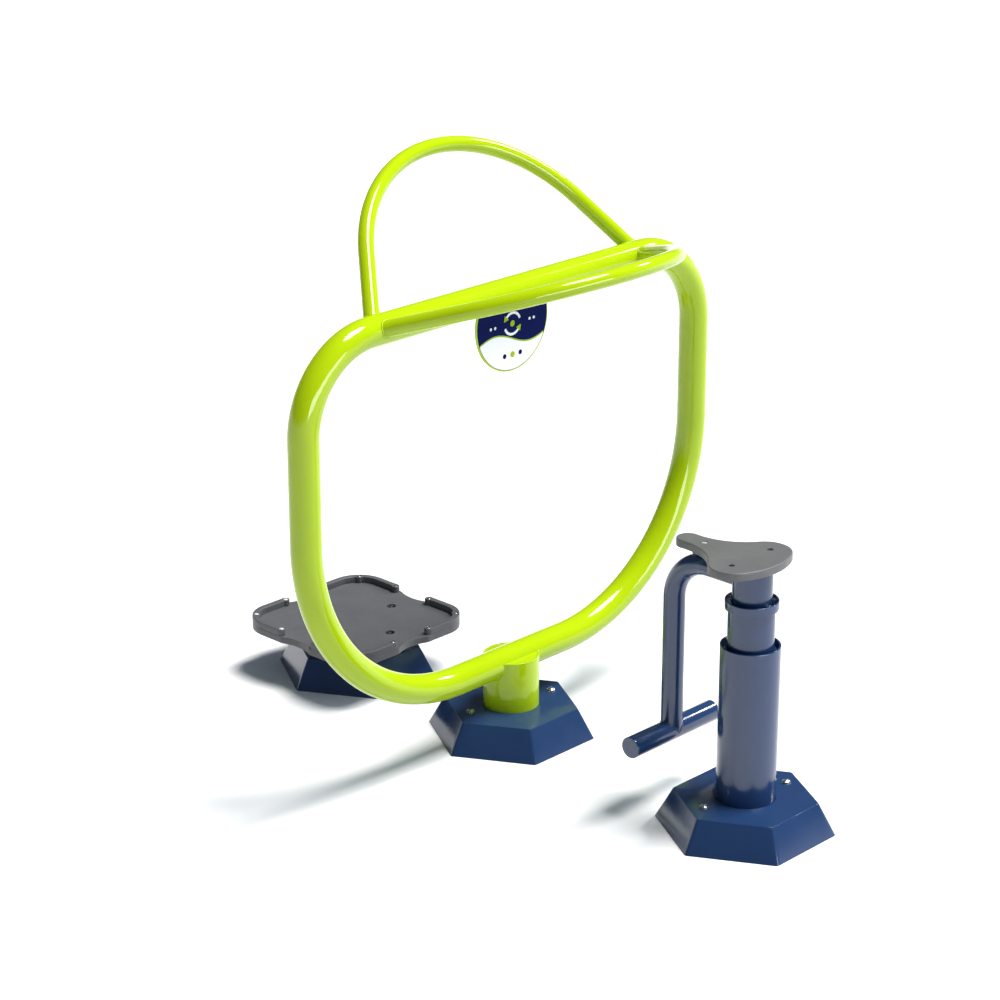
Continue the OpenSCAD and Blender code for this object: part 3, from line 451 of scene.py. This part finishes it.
# Sign. A 4 mm painted steel disc, cut off where it is welded under the top bar, with a printed
# panel bonded to each side. The panel shows a plain turning-arrows mark in the set's colours.
def slab(name, outline, low, high, edge, holes=(), origin=(0, 0, 0), ex=(1, 0, 0), ey=(0, 1, 0),
         low_edge=None):
    """A flat plate with eased edges. The outline is carried up a quarter-round, a straight wall
    and a quarter-round: outline - inset * outward normal, at its height. Each hole (x, y, radius,
    floor height) is a round blind seat with an eased lip. The flat faces fill between them."""
    lip, level_cosine = 0.0006, 0.9999
    outline = np.array(outline, float)
    ahead = np.roll(outline, -1, 0) - np.roll(outline, 1, 0)
    ahead /= np.linalg.norm(ahead, axis=1)[:, None]
    x, y = outline.T
    turning = np.sign((x * np.roll(y, -1) - y * np.roll(x, -1)).sum())
    out = turning * np.stack([ahead[:, 1], -ahead[:, 0]], 1)
    low_edge = edge if low_edge is None else low_edge
    t = np.radians(np.linspace(0, 90, 6))
    inset = np.r_[low_edge * (1 - np.sin(t)), edge * (1 - np.cos(t))][:, None, None]
    level = np.r_[low + low_edge * (1 - np.cos(t)), high - edge * (1 - np.sin(t))][:, None, None]
    wall = outline - inset * out
    grids = [np.concatenate([wall, np.broadcast_to(level, (*wall.shape[:2], 1))], 2)]
    for x, y, r, floor_z in holes:
        reach = np.r_[r + lip * (1 - np.sin(t[:5])), r, r, r / 2][:, None]
        level = np.r_[high - lip * (1 - np.cos(t[:5])), high - lip, floor_z, floor_z][:, None]
        a = np.linspace(0, 2 * np.pi, 40, endpoint=False)
        grids.append(np.stack([x + reach * np.cos(a), y + reach * np.sin(a), level + 0 * a], -1))
    first = np.cumsum([0] + [len(g) * len(g[0]) for g in grids])
    mesh = bpy.data.meshes.new(name)
    mesh.from_pydata(np.vstack([g.reshape(-1, 3) for g in grids]).tolist(), [],
                     np.vstack([grid_quads(*g.shape[:2]) + k for g, k in zip(grids, first)]).tolist())
    work = bmesh.new()
    work.from_mesh(mesh)
    for flat in (low, high):
        rim = [e for e in work.edges if e.is_boundary and abs(e.verts[0].co.z - flat) < 1e-7]
        bmesh.ops.triangle_fill(work, use_beauty=True, edges=rim)
    bmesh.ops.holes_fill(work, edges=[e for e in work.edges if e.is_boundary])
    bmesh.ops.recalc_face_normals(work, faces=work.faces)
    work.to_mesh(mesh)
    work.free()
    shade(mesh)
    # the borders of the level faces are sharp too, so that each keeps its own normal
    normal = np.empty(3 * len(mesh.polygons))
    mesh.polygons.foreach_get("normal", normal)
    corners, edge_of = np.empty(len(mesh.polygons), int), np.empty(len(mesh.loops), int)
    mesh.polygons.foreach_get("loop_total", corners)
    mesh.loops.foreach_get("edge_index", edge_of)
    on_level = np.repeat(np.abs(normal[2::3]) > level_cosine, corners)
    level_sides = np.bincount(edge_of[on_level], minlength=len(mesh.edges))
    sides = np.bincount(edge_of, minlength=len(mesh.edges))
    sharp = mesh.attributes.get("sharp_edge") or mesh.attributes.new("sharp_edge", "BOOLEAN", "EDGE")
    flags = np.zeros(len(mesh.edges), bool)
    sharp.data.foreach_get("value", flags)
    sharp.data.foreach_set("value", flags | ((level_sides > 0) & (level_sides < sides)))
    # from the plate's own plane to its place: origin + x ex + y ey + z (ex across ey)
    points = np.empty(3 * len(mesh.vertices))
    mesh.vertices.foreach_get("co", points)
    points = np.array(origin) + points.reshape(-1, 3) @ np.array([ex, ey, np.cross(ex, ey)], float)
    mesh.vertices.foreach_set("co", points.ravel())
    mesh.update()
    return put(name, mesh)


sign_z, disc_r, disc_cut, disc_face, disc_edge = 0.870, 0.100, 0.9008, 0.0020, 0.0005


def cut_disc(r, top):
    """A circle of radius r about the sign's centre, cut off level at the given height."""
    rise = math.degrees(math.asin((top - sign_z) / r))
    return arc(0, sign_z, r, 180 - rise, 360 + rise, 120)


plate = slab("sign_disc", cut_disc(disc_r, disc_cut), -disc_face, disc_face, disc_edge,
             ex=(1, 0, 0), ey=(0, 0, 1))
dress(plate, lime_coat, "lime_powder_coat", "ground_frame", "sign_plate")


def printed(name, colour):
    """Screen-printed polyester film under a clear satin lacquer: even colour, with the faint
    tooth of the ink at 1 mm in its gloss."""
    roughness, mirror, tooth_mm = 0.28, 0.03, 1.0
    made, tree, shader, place = new_material(name, hue(colour), roughness)
    shader.inputs["Specular IOR Level"].default_value = mirror
    tooth = add(tree, "ShaderNodeTexNoise", {"Vector": place, "Scale": 1000 / tooth_mm,
                                             "Detail": 1.0})
    level = add(tree, "ShaderNodeMapRange", {0: tooth.outputs["Fac"], 3: roughness - 0.04,
                                             4: roughness + 0.06})
    tree.links.new(level.outputs[0], shader.inputs["Roughness"])
    return made


navy_ink = printed("navy_ink", "#02124c")
white_ink = printed("white_ink", "#fbfbfa")
lime_ink = printed("lime_ink", "#a4bf16")


def under_wave(r, rise):
    """The part of a circle of radius r that lies under one slow S across the disc, raised by
    rise: z = middle + rise - swing sin(pi x / r)."""
    middle, swing, within = sign_z - 0.036, 0.013, 0.999
    s = np.linspace(-1, 1, 60)
    x, z = s * r * within, middle + rise - swing * np.sin(np.pi * s)
    inside = x ** 2 + (z - sign_z) ** 2 < r ** 2
    x, z = x[inside], z[inside]
    first, last = (math.degrees(math.atan2(z[k] - sign_z, x[k])) % 360 for k in (0, -1))
    return np.vstack([np.stack([x, z], 1)[::-1], arc(0, sign_z, r, first, last, 60)[1:-1]])


field_r, field_cut, line_w, line_inset, lower_inset = 0.0970, 0.8980, 0.0030, 0.0004, 0.0007
mark_z, turn_r, turn_w, turn_sweep, tip = 0.866, 0.0215, 0.0052, 118, 0.0115
hub_r, dot_r, lower_dot_r, lower_z = 0.0062, 0.0030, 0.0050, 0.8035


def turn_band(start):
    """A curved band about the mark's centre, from one angle on through the sweep."""
    outer, inner = (arc(0, mark_z, turn_r + side * turn_w / 2, start, start + turn_sweep, 30)
                    for side in (1, -1))
    return np.vstack([outer, inner[::-1]])


def turn_tip(angle):
    """A triangle on the band's end, pointing on round the circle."""
    a, half_width = math.radians(angle), 0.62 * tip
    out, on = np.array([math.cos(a), math.sin(a)]), np.array([-math.sin(a), math.cos(a)])
    mid = turn_r * out + (0, mark_z)
    return np.array([mid + out * half_width, mid + on * tip, mid - out * half_width])


def dot(x, z, r):
    """A round dot in the sign's plane."""
    return arc(x, z, r, 0, 360, 41)[:-1]


# each layer of print stands a little proud of the one below, and all start in the disc's face
print_under, print_edge = 0.0001, 0.00008
field_film, line_film, mark_film, lower_film, dot_film = 0.40e-3, 0.46e-3, 0.48e-3, 0.52e-3, 0.56e-3
marks = [("field", cut_disc(field_r, field_cut), field_film, navy_ink),
         ("line", under_wave(field_r - line_inset, line_w), line_film, lime_ink),
         ("lower_field", under_wave(field_r - lower_inset, 0), lower_film, white_ink)]
for k, start in enumerate((20, 200)):
    marks += [("turn_%d" % k, turn_band(start), mark_film, white_ink),
              ("tip_%d" % k, turn_tip(start + turn_sweep), mark_film, lime_ink)]
marks += [("hub_dot", dot(0, mark_z, hub_r), mark_film, lime_ink)]
for k, x in enumerate((-0.060, -0.048, 0.048, 0.060)):
    marks += [("dot_%d" % k, dot(x, mark_z, dot_r), mark_film, white_ink)]
for k, (x, r, ink) in enumerate(((-0.022, lower_dot_r, navy_ink), (0, hub_r, lime_ink),
                                 (0.022, lower_dot_r, navy_ink))):
    marks += [("lower_dot_%d" % k, dot(x, lower_z, r), dot_film, ink)]
for side, sign in (("front", -1), ("back", 1)):
    for name, shape, film, ink in marks:
        piece = slab("sign_%s_%s" % (side, name), shape * np.array([-sign, 1]), -print_under, film,
                     print_edge, origin=(0, sign * disc_face, 0), ex=(-sign, 0, 0), ey=(0, 0, 1))
        dress(piece, ink, "sign_print", "ground_frame", *(("sign_faces",) if name == "field" else ()))


# Base covers. A hexagonal skirt of 3 mm sheet, folded down from one blank and seam welded at its
# six corners, slips over each post and hides the base plate and its anchor bolts.
navy_coat = powder_coat("navy_powder_coat", "#223b62", "#254069", "#1f365c", 1.6, 0.17)
pivot = {joint["name"]: joint["pos_m"] for joint in frame["joints"]}
station_y = {"loop": 0.0, "platform": pivot["deck_twist"][1], "seat": pivot["seat_twist"][1]}

# 24 directions to each wall, crowded towards its corners
t = np.linspace(-1, 1, 25)[:-1]
round_hex = np.arange(6)[:, None] * 60 + 30 + 30 * (1.5 * t - 0.5 * t ** 3)
round_hex = np.radians(round_hex.ravel())
# radius of a hexagon in a direction: one over the largest cosine to its six walls, with the
# maximum taken as a high power mean, which rounds the corners to a few millimetres
power = 110
near = np.clip(np.cos(round_hex[:, None] - np.radians(np.arange(6) * 60 + 30)), 0, None)
hex_radius = math.cos(math.radians(30)) / (near ** power).sum(1) ** (1 / power)
foot, brow, throat, cover_h, sheet_t = 0.1745, 0.1398, 0.0577, 0.063, 0.003
inner_foot, inner_brow, round_from, round_run = 0.1708, 0.1372, 0.0600, 0.0015
skirt = soften([(foot, 0.0), (brow, cover_h), (throat, cover_h), (throat, cover_h - sheet_t),
                (inner_brow, cover_h - sheet_t), (inner_foot, 0.0)],
               (0.0003, 0.0022, 0.0005, 0.0004, 0.0016, 0.0003), 6)
skirt_r, skirt_z = skirt[:, :1], skirt[:, 1:]
# the hexagon turns into a circle just before the throat
round_share = np.clip((round_from - skirt_r) / round_run, 0, 1)
reach = skirt_r * (hex_radius * (1 - round_share) + round_share)
for station, y in station_y.items():
    p = np.stack([reach * np.cos(round_hex), y + reach * np.sin(round_hex),
                  np.broadcast_to(skirt_z, reach.shape)], -1)
    cover = skin(station + "_cover_skirt", p, wrap_u=True, crease=28)
    dress(cover, navy_coat, "navy_powder_coat", "ground_frame", station + "_base_cover")


# Cover screws. Bright stainless M8 button heads with a hexagon socket, two to a cover, turned
# down on thin washers.
def stainless(name, colour="#c9cacc", roughness=0.2, metallic=1.0):
    """Cold-headed A2 stainless steel, tumbled bright: clean metal with turning marks 1.2 mm apart.
    A lighter, less metallic copy paints a bright highlight on some heads; a darker, bluer copy
    paints shade and a navy reflection on heads sunk in their seats."""
    turning_mm = 1.2
    made, tree, shader, place = new_material(name, hue(colour), roughness, metallic=metallic)
    turning = add(tree, "ShaderNodeTexNoise", {"Vector": place, "Scale": 1000 / turning_mm,
                                               "Detail": 2.0})
    level = add(tree, "ShaderNodeMapRange", {0: turning.outputs["Fac"], 3: roughness - 0.06,
                                             4: roughness + 0.1})
    tree.links.new(level.outputs[0], shader.inputs["Roughness"])
    return made


bright_steel = stainless("bright_stainless")


def flock(name, p, places):
    """Copies of one grid of points, set down at each of the places, as one mesh."""
    return skin(name, np.array(places, float)[:, None, None] + p, crease=30)


def button_head(r, h, socket, skirt_h, shank, shank_l, washer=0.0):
    """Grid of a domed screw: shank, washer, short skirt, dome h (1 - (q/r)^2), then a hexagon
    socket, whose radius in each direction is one over the cosine to its nearest wall."""
    ease, washer_t = 0.0003, 0.0012
    a = np.linspace(0, 2 * np.pi, 48, endpoint=False)
    six = math.cos(math.pi / 6) / np.cos((a + math.pi / 6) % (math.pi / 3) - math.pi / 6)
    base = washer_t if washer else 0.0
    dome = h - skirt_h
    crown = base + skirt_h + dome * (1 - (socket / r) ** 2)
    # radius, height, and 1 where the row follows the hexagon
    rows = [(0, -shank_l, 0), (shank, -shank_l, 0), (shank, 0, 0)]
    if washer:
        rows += [(washer - 0.0002, 0, 0), (washer, ease, 0), (washer, base - ease, 0),
                 (washer - ease, base, 0)]
    rows += [(r - 0.0002, base, 0), (r, base + ease, 0), (r, base + skirt_h, 0)]
    rows += [(r * q, base + skirt_h + dome * (1 - q * q), 0) for q in (0.97, 0.9, 0.78, 0.62)]
    rows += [(socket * 1.16, crown - 0.0001, 0), (socket, crown - ease, 1),
             (socket, crown - h * 0.62, 1), (socket / 2, crown - h * 0.72, 1), (0, crown - h * 0.8, 1)]
    q = np.array(rows)
    reach = q[:, :1] * np.where(q[:, 2:] > 0, six, 1)
    return np.stack([reach * np.cos(a), reach * np.sin(a), q[:, 1:2] + 0 * reach], -1)


screw_turn, screw_reach = math.radians(-13), 0.098
spots = [(s * screw_reach * math.cos(screw_turn), y + s * screw_reach * math.sin(screw_turn), cover_h)
         for y in station_y.values() for s in (1, -1)]
cover_head = button_head(r=0.0082, h=0.0066, socket=0.0026, skirt_h=0.0026, shank=0.0039,
                         shank_l=0.016, washer=0.0092)
screws = flock("cover_button_screws", cover_head, spots)
dress(screws, bright_steel, "stainless_screw", "ground_frame", "cover_screws")


# Deck station. The deck is one milled plate of grey high-density polyethylene, scalloped in the
# middle of each side, with four raised corner rims of the same plastic screwed on as toe stops.
def plastic(name, base, light, dark, roughness):
    """Moulded and milled polyethylene: a fine matt grain, a slow drift of tone where shoes and
    sun have worn it, and faint scuffs on a slant, twenty times as long as they are wide."""
    made, tree, shader, place = new_material(name, hue(base), roughness)
    drift_mm, grain_mm, scuff_mm, slant = 90, 0.9, (25, 1.25, 25), (0, 0, 0.7)
    grain_span, grain_share, grain_rise = 0.07, 0.5, 0.00012
    drift = add(tree, "ShaderNodeTexNoise", {"Vector": place, "Scale": 1000 / drift_mm,
                                             "Detail": 4.0, "Roughness": 0.6})
    share = add(tree, "ShaderNodeMapRange", {0: drift.outputs["Fac"], 1: 0.3, 2: 0.7})
    tone = add(tree, "ShaderNodeMix", {0: share.outputs[0], 6: hue(dark), 7: hue(light)},
               data_type="RGBA")
    grain = add(tree, "ShaderNodeTexNoise", {"Vector": place, "Scale": 1000 / grain_mm,
                                             "Detail": 2.0})
    level = add(tree, "ShaderNodeMapRange", {0: grain.outputs["Fac"], 3: 1 - grain_span,
                                             4: 1 + grain_span})
    speck = add(tree, "ShaderNodeVectorMath", {0: tone.outputs[2], "Scale": level.outputs[0]},
                operation="SCALE")
    tree.links.new(speck.outputs[0], shader.inputs["Base Color"])
    along = add(tree, "ShaderNodeMapping", {"Vector": place, "Rotation": slant,
                                            "Scale": [1000 / s for s in scuff_mm]})
    scuff = add(tree, "ShaderNodeTexNoise", {"Vector": along.outputs[0], "Scale": 1.0,
                                             "Detail": 3.0})
    dull = add(tree, "ShaderNodeMapRange", {0: scuff.outputs["Fac"], 1: 0.4, 2: 0.75,
                                            3: roughness - 0.05, 4: roughness + 0.12})
    tree.links.new(dull.outputs[0], shader.inputs["Roughness"])
    bump = add(tree, "ShaderNodeBump", {"Strength": grain_share, "Distance": grain_rise,
                                        "Height": grain.outputs["Fac"]})
    tree.links.new(bump.outputs[0], shader.inputs["Normal"])
    return made


def eased(outline, step, blur):
    """A closed outline sampled every step and averaged round with a bell of width blur, which
    rounds its corners to about that radius."""
    around = np.linalg.norm(outline - np.roll(outline, 1, 0), axis=1).sum()
    flat = resample(np.pad(outline, ((0, 0), (0, 1))), 4 * int(around / step / 4))[:, :2]
    far = np.minimum(np.arange(len(flat)), len(flat) - np.arange(len(flat))) * step
    bell = np.exp(-0.5 * (far / blur) ** 2)
    bell /= bell.sum()
    return np.fft.ifft(np.fft.fft(flat, axis=0) * np.fft.fft(bell)[:, None], axis=0).real


def quarter_turns(points):
    """A run of points repeated at 0, 90, 180 and 270 degrees about the origin."""
    x, y = np.array(points, float).T
    return [np.stack(q, 1) for q in ((x, y), (-y, x), (-x, -y), (y, -x))]


deck_grey = plastic("deck_plastic", "#59595b", "#5d5d5f", "#545457", 0.46)
deck_y, deck_low, deck_top, deck_post_top = station_y["platform"], 0.096, 0.111, 0.076
deck_half, corner_r, notch_half, notch_deep = 0.176, 0.067, 0.042, 0.010
deck_edge, deck_low_edge, deck_softness = 0.0007, 0.0015, 0.0025
deck_screw_reach, deck_seat_r, deck_seat_z = 0.103, 0.0108, 0.106
corner_at = deck_half - corner_r
notch_r = (notch_half ** 2 + notch_deep ** 2) / (2 * notch_deep)
notch_open = math.degrees(math.asin(notch_half / notch_r))
notch_at = deck_half - notch_deep + notch_r
quarter = np.vstack([arc(notch_at, 0, notch_r, 180 + notch_open, 180 - notch_open),
                     arc(corner_at, corner_at, corner_r, 0, 90, 40)])
deck_outline = eased(np.vstack(quarter_turns(quarter)), 0.002, deck_softness)
deck_screw_at = np.vstack(quarter_turns([(deck_screw_reach, 0)]))
deck = slab("deck_plate", deck_outline, deck_low, deck_top, deck_edge,
            holes=[(x, y, deck_seat_r, deck_seat_z) for x, y in deck_screw_at],
            origin=(0, deck_y, 0), low_edge=deck_low_edge)
dress(deck, deck_grey, "deck_plastic", "deck_rotor", "platform_deck")

# Rims. Each runs 14 mm wide along two sides and round the corner between them, and has a round
# boss 18 mm across at each of its three screws.
rim_top, rim_w, boss_r, rim_end = 0.125, 0.014, 0.009, 0.052
rim_edge, rim_low_edge, rim_softness = 0.0014, 0.0004, 0.0009
rim_seat_r, rim_seat_z, rim_screw_z = 0.0053, 0.1225, 0.1236
rim_in, boss_at, end_at = corner_r - rim_w, corner_r - boss_r, deck_half - boss_r
# where the end bosses and the corner boss cross the rim's inner line
meet = math.degrees(math.acos((boss_r - rim_w) / boss_r))
swing = math.degrees(math.acos((rim_in ** 2 + boss_at ** 2 - boss_r ** 2) / (2 * rim_in * boss_at)))
boss_x = corner_at + boss_at * math.cos(math.radians(45))
on_boss = arc(corner_at, corner_at, rim_in, 45 - swing, 45 - swing, 1)[0] - boss_x
boss_turn = math.degrees(math.atan2(on_boss[1], on_boss[0])) % 360
rim_outline = np.vstack([
    arc(corner_at, corner_at, corner_r, 0, 90, 40),
    arc(rim_end, end_at, boss_r, 90, 270, 20),
    arc(rim_end, end_at, boss_r, -90, 90 - meet, 8),
    arc(corner_at, corner_at, rim_in, 90, 45 + swing, 14),
    arc(boss_x, boss_x, boss_r, 450 - boss_turn, boss_turn, 14),
    arc(corner_at, corner_at, rim_in, 45 - swing, 0, 14),
    arc(end_at, rim_end, boss_r, meet, 180, 8),
    arc(end_at, rim_end, boss_r, 180, 360, 20)])
screw_line = deck_half - 0.0095
rim_screws = quarter_turns([(screw_line, rim_end), (rim_end, screw_line), (boss_x, boss_x)])
for k, points in enumerate(quarter_turns(eased(rim_outline, 0.001, rim_softness))):
    rim = slab("deck_rim_%d" % k, points, deck_top, rim_top, rim_edge,
               holes=[(x, y, rim_seat_r, rim_seat_z) for x, y in rim_screws[k]],
               origin=(0, deck_y, 0), low_edge=rim_low_edge)
    dress(rim, deck_grey, "deck_plastic", "deck_rotor", *(("platform_corner_rims",) if k == 0 else ()))

# a darker, bluer, polished copy of the stainless: its darkness is painted shade of the seats and its
# blue a painted navy reflection
shade_painted_steel = stainless("polished_stainless_painted_shade", "#aab4c6", 0.13)
# a lighter, less metallic copy of the stainless: a painted bright highlight for the heads that look
# bright
highlight_painted_steel = stainless("stainless_painted_highlight", "#eceef2", 0.3, 0.25)
small_head = button_head(r=0.0050, h=0.0022, socket=0.0016, skirt_h=0.0004, shank=0.003,
                         shank_l=0.012)
# the left rim's heads take the painted-highlight copy, the other rims the plain bright stainless
for name, rims, finish, nodes in (
        ("rim_screw_heads", (0, 2, 3), bright_steel, ("platform_rim_screws",)),
        ("rim_screw_heads_left", (1,), highlight_painted_steel, ())):
    spots = [(x, y + deck_y, rim_screw_z) for k in rims for x, y in rim_screws[k]]
    dress(flock(name, small_head, spots), finish, "stainless_screw", "deck_rotor", *nodes)
big_head = button_head(r=0.0050, h=0.0056, socket=0.0020, skirt_h=0.0016, shank=0.004,
                       shank_l=0.018, washer=0.0098)
# the deck's heads, sunk in their seats, take the painted-shade copy
dress(flock("deck_screw_heads", big_head, [(x, y + deck_y, deck_seat_z) for x, y in deck_screw_at]),
      shade_painted_steel, "stainless_screw", "deck_rotor", "platform_deck_screws")
deck_post = turned("deck_post_tube", tube_wall(post_r, post_in, post_low, deck_post_top),
                   (0, deck_y))
dress(deck_post, navy_coat, "navy_powder_coat", "ground_frame", "platform_post")


# Seat station. A fixed post carries a narrower column with a turned collar; the seat's own tube
# turns in the collar. All are navy coated, with their edges broken and thickly covered.
seat_y = station_y["seat"]


def about_seat(name, profile, body, *nodes):
    """A turned navy part on the seat's axis."""
    return dress(turned(name, profile, (0, seat_y)), navy_coat, "navy_powder_coat", body, *nodes)


column_r, column_in, upper_r, upper_in = 0.04445, 0.0400, 0.03805, 0.03505
lower_top, column_low, column_top, ring_h = 0.375, 0.150, 0.455, 0.008
collar_r, collar_mouth, collar_low, collar_top = 0.0508, 0.0476, 0.448, 0.465
upper_low, plate_low, plate_top = 0.457, 0.524, 0.530
about_seat("seat_lower_tube", tube_wall(post_r, post_in, post_low, lower_top), "ground_frame",
           "seat_lower_post")
for k, low in enumerate((0.355, 0.155)):
    about_seat("seat_centring_ring_%d" % k, tube_wall(post_in, column_r, low, low + ring_h, 0.0005),
               "ground_frame", *(("seat_centring_rings",) if k == 0 else ()))
about_seat("seat_column", tube_wall(column_r, column_in, column_low, column_top), "ground_frame",
           "seat_middle_post")
about_seat("seat_turned_collar", soften(
    [(column_r, collar_low), (collar_r, collar_low), (collar_r, collar_top),
     (collar_mouth, collar_top), (collar_mouth, column_top), (column_r, column_top)],
    (0.0004, 0.0008, 0.0010, 0.0006, 0.0004, 0.0004)), "ground_frame", "seat_collar")
about_seat("seat_turning_tube", tube_wall(upper_r, upper_in, upper_low, plate_low, 0.0006),
           "seat_rotor", "seat_upper_tube")

# Footrest. An arm of bent 42.4 mm tube, coped to the turning tube at one end and to the
# crossbar at the other. The crossbar is of the same tube, with a disc welded in each end.
foot_r, foot_wall, foot_bend, foot_reach = 0.0212, 0.003, 0.0845, 0.187
arm_z, arm_from, arm_to, foot_bead = 0.5028, 0.045, 0.180, 0.0018
bar_low, bar_half, end_t, end_hole = 0.141, 0.117, 0.003, 0.0002
turn_arc = bend((foot_reach - foot_bend, arm_z - foot_bend), foot_bend, 90, 0, 40)
arm_run = np.vstack([straight((arm_from, arm_z), turn_arc[0, :2])[:-1], turn_arc,
                     straight(turn_arc[-1, :2], (foot_reach, arm_to))[1:]])
p = rings(arm_run, foot_r, (0, seat_y, 0), (0, 1, 0), (0, 0, 1), 96)
bar_at = (seat_y + foot_reach, bar_low)
arm_seam = cope(p, 0, (0, -1, 0), (0, seat_y, 0), (0, 0, 1), upper_r)
# tubes of one size only graze each other, so the arm stops a micron short of the crossbar
bar_seam = cope(p, -1, (0, 0, -1), (0, *bar_at), (1, 0, 0), foot_r + 1e-7, -9e-7)
dress(skin("footrest_bent_arm", close_ends(p)), navy_coat, "navy_powder_coat", "seat_rotor",
      "footrest_arm")
for name, seam, lean in (("footrest_arm_weld", arm_seam, (0, 1, 0)),
                         ("footrest_bar_weld", bar_seam, (0, 0, 1))):
    weld(name, resample(seam, 160), lean, foot_bead, navy_coat, "navy_powder_coat", "seat_rotor")
bar = turned("footrest_crossbar", tube_wall(foot_r, foot_r - foot_wall, -bar_half, bar_half, 0.0004),
             bar_at, level=True)
dress(bar, navy_coat, "navy_powder_coat", "seat_rotor", "footrest_bar")
for k, sign in enumerate((-1, 1)):
    face, back = sign * (bar_half + end_t), sign * bar_half
    disc = turned("footrest_end_%d" % k, soften(
        [(end_hole, back), (foot_r, back), (foot_r, face), (end_hole, face)],
        (0.0001, 0.0003, 0.0012, 0.0001)), bar_at, level=True)
    dress(disc, navy_coat, "navy_powder_coat", "seat_rotor",
          *(("footrest_end_plates",) if k == 0 else ()))

# Top plate and pan. A laser-cut plate on the turning tube is tapped for three bolts, and the arm
# is welded along its underside. The pan is a milled polyethylene saddle with rounded edges.
half_plate = np.array([(0.017, -0.0376), (0.0340, -0.0170), (0.0379, -0.011), (0.072, -0.011),
                       (0.072, 0.023), (0.017, 0.023), (0.017, 0.133)])
plate_outline = np.vstack([half_plate, half_plate[::-1] * (-1, 1)])
top_plate = slab("seat_bolt_plate", eased(plate_outline, 0.001, 0.0015), plate_low, plate_top,
                 0.0008, origin=(0, seat_y, 0))
dress(top_plate, navy_coat, "navy_powder_coat", "seat_rotor", "seat_top_plate")

# The saddle's half outline is four arcs: nose, hollow waist, lobe and rear, each tangent to the
# next, so that they meet on the lines between their centres. The waist's centre thus lies the
# sum of two radii from the nose's centre, and so too from the lobe's.
seat_grey = plastic("seat_plastic", "#646464", "#696969", "#5f5f5f", 0.44)
pan_top, pan_edge, pan_low_edge, bolt_seat_r, bolt_seat_z = 0.546, 0.0028, 0.0015, 0.0062, 0.537
nose_r, waist_r, lobe_r, rear_r = 0.0235, 0.118, 0.0485, 0.145
nose, lobe, rear = np.array([(0, 0.156), (0.0475, 0.007), (0, 0.0910)])
apart = np.linalg.norm(lobe - nose)
ahead = (lobe - nose) / apart
along = (apart ** 2 + (nose_r + waist_r) ** 2 - (waist_r + lobe_r) ** 2) / (2 * apart)
off = math.sqrt((nose_r + waist_r) ** 2 - along ** 2)
waist = nose + along * ahead + off * np.array([-ahead[1], ahead[0]])
nose_turn, lobe_turn, rear_turn = (math.degrees(math.atan2(y, x)) for x, y in
                                   (waist - nose, lobe - waist, lobe - rear))
half = np.vstack([arc(*nose, nose_r, 90, nose_turn, 16),
                  arc(*waist, waist_r, nose_turn + 180, lobe_turn + 360, 24),
                  arc(*lobe, lobe_r, lobe_turn + 180, rear_turn, 30),
                  arc(*rear, rear_r, rear_turn, -90, 20)])
saddle = np.vstack([half, half[-2:0:-1] * (-1, 1)])
bolt_at = [(0, 0.117), (-0.056, 0.006), (0.056, 0.006)]
pan = slab("seat_saddle", eased(saddle, 0.0015, 0.002), plate_top, pan_top, pan_edge,
           holes=[(x, y, bolt_seat_r, bolt_seat_z) for x, y in bolt_at], origin=(0, seat_y, 0),
           low_edge=pan_low_edge)
dress(pan, seat_grey, "seat_plastic", "seat_rotor", "seat_pan")
cap_head = button_head(r=0.0058, h=0.0085, socket=0.0029, skirt_h=0.0068, shank=0.004,
                       shank_l=0.013)
# the two rear bolts take the painted-shade copy, the nose bolt the painted-highlight copy
for name, at, finish, nodes in (("seat_bolt_heads", bolt_at[1:], shade_painted_steel, ("seat_bolts",)),
                                ("seat_nose_bolt", bolt_at[:1], highlight_painted_steel, ())):
    dress(flock(name, cap_head, [(x, y + seat_y, bolt_seat_z) for x, y in at]), finish,
          "stainless_screw", "seat_rotor", *nodes)


# Hidden gear. The plates, the bearings and the stops keep their own solids, with the finish of
# the real thing: bright zinc on the plates and shafts, ground bearing steel, and brass cages.
def plated(name, base, light, dark, spangle_mm, roughness):
    """Plated or ground metal: spangle in the tone, and a fine satin in the gloss."""
    made, tree, shader, place = new_material(name, hue(base), roughness, metallic=1.0)
    spangle = add(tree, "ShaderNodeTexVoronoi", {"Vector": place, "Scale": 1000 / spangle_mm})
    mottle = add(tree, "ShaderNodeSeparateColor", {0: spangle.outputs["Color"]})
    tone = add(tree, "ShaderNodeMix", {0: mottle.outputs[0], 6: hue(dark), 7: hue(light)},
               data_type="RGBA")
    tree.links.new(tone.outputs[2], shader.inputs["Base Color"])
    level = add(tree, "ShaderNodeMapRange", {0: mottle.outputs[1], 3: roughness - 0.06,
                                             4: roughness + 0.1})
    tree.links.new(level.outputs[0], shader.inputs["Roughness"])
    return made


zinc = plated("zinc_steel", "#b4b8bc", "#bfc3c6", "#a5aaaf", 5.0, 0.38)
ground_steel = plated("bearing_steel", "#cfd1d3", "#d4d6d8", "#c8cacc", 0.8, 0.14)
brass = plated("cage_brass", "#c19a4b", "#caa455", "#b58d40", 1.5, 0.3)
kept = {
    "loop_base_plate platform_base_plate seat_base_plate platform_bearing_housing "
    "platform_bearing_spacer platform_circlip platform_spindle platform_spindle_nut "
    "platform_stop_ring platform_stop_pin platform_hub_plate seat_bearing_spacer seat_circlip "
    "seat_spindle seat_spindle_nut seat_stop_ring seat_stop_lug cover_pillars": zinc,
    "platform_outer_races platform_inner_races platform_balls seat_outer_races "
    "seat_inner_races seat_balls": ground_steel,
    "platform_ball_cages seat_ball_cages": brass,
    "loop_base_gussets": lime_coat,
    "platform_base_gussets seat_base_gussets": navy_coat}
for names, finish in kept.items():
    for node in names.split():
        held = bpy.data.objects[node]
        for place in held.material_slots:
            place.material = finish
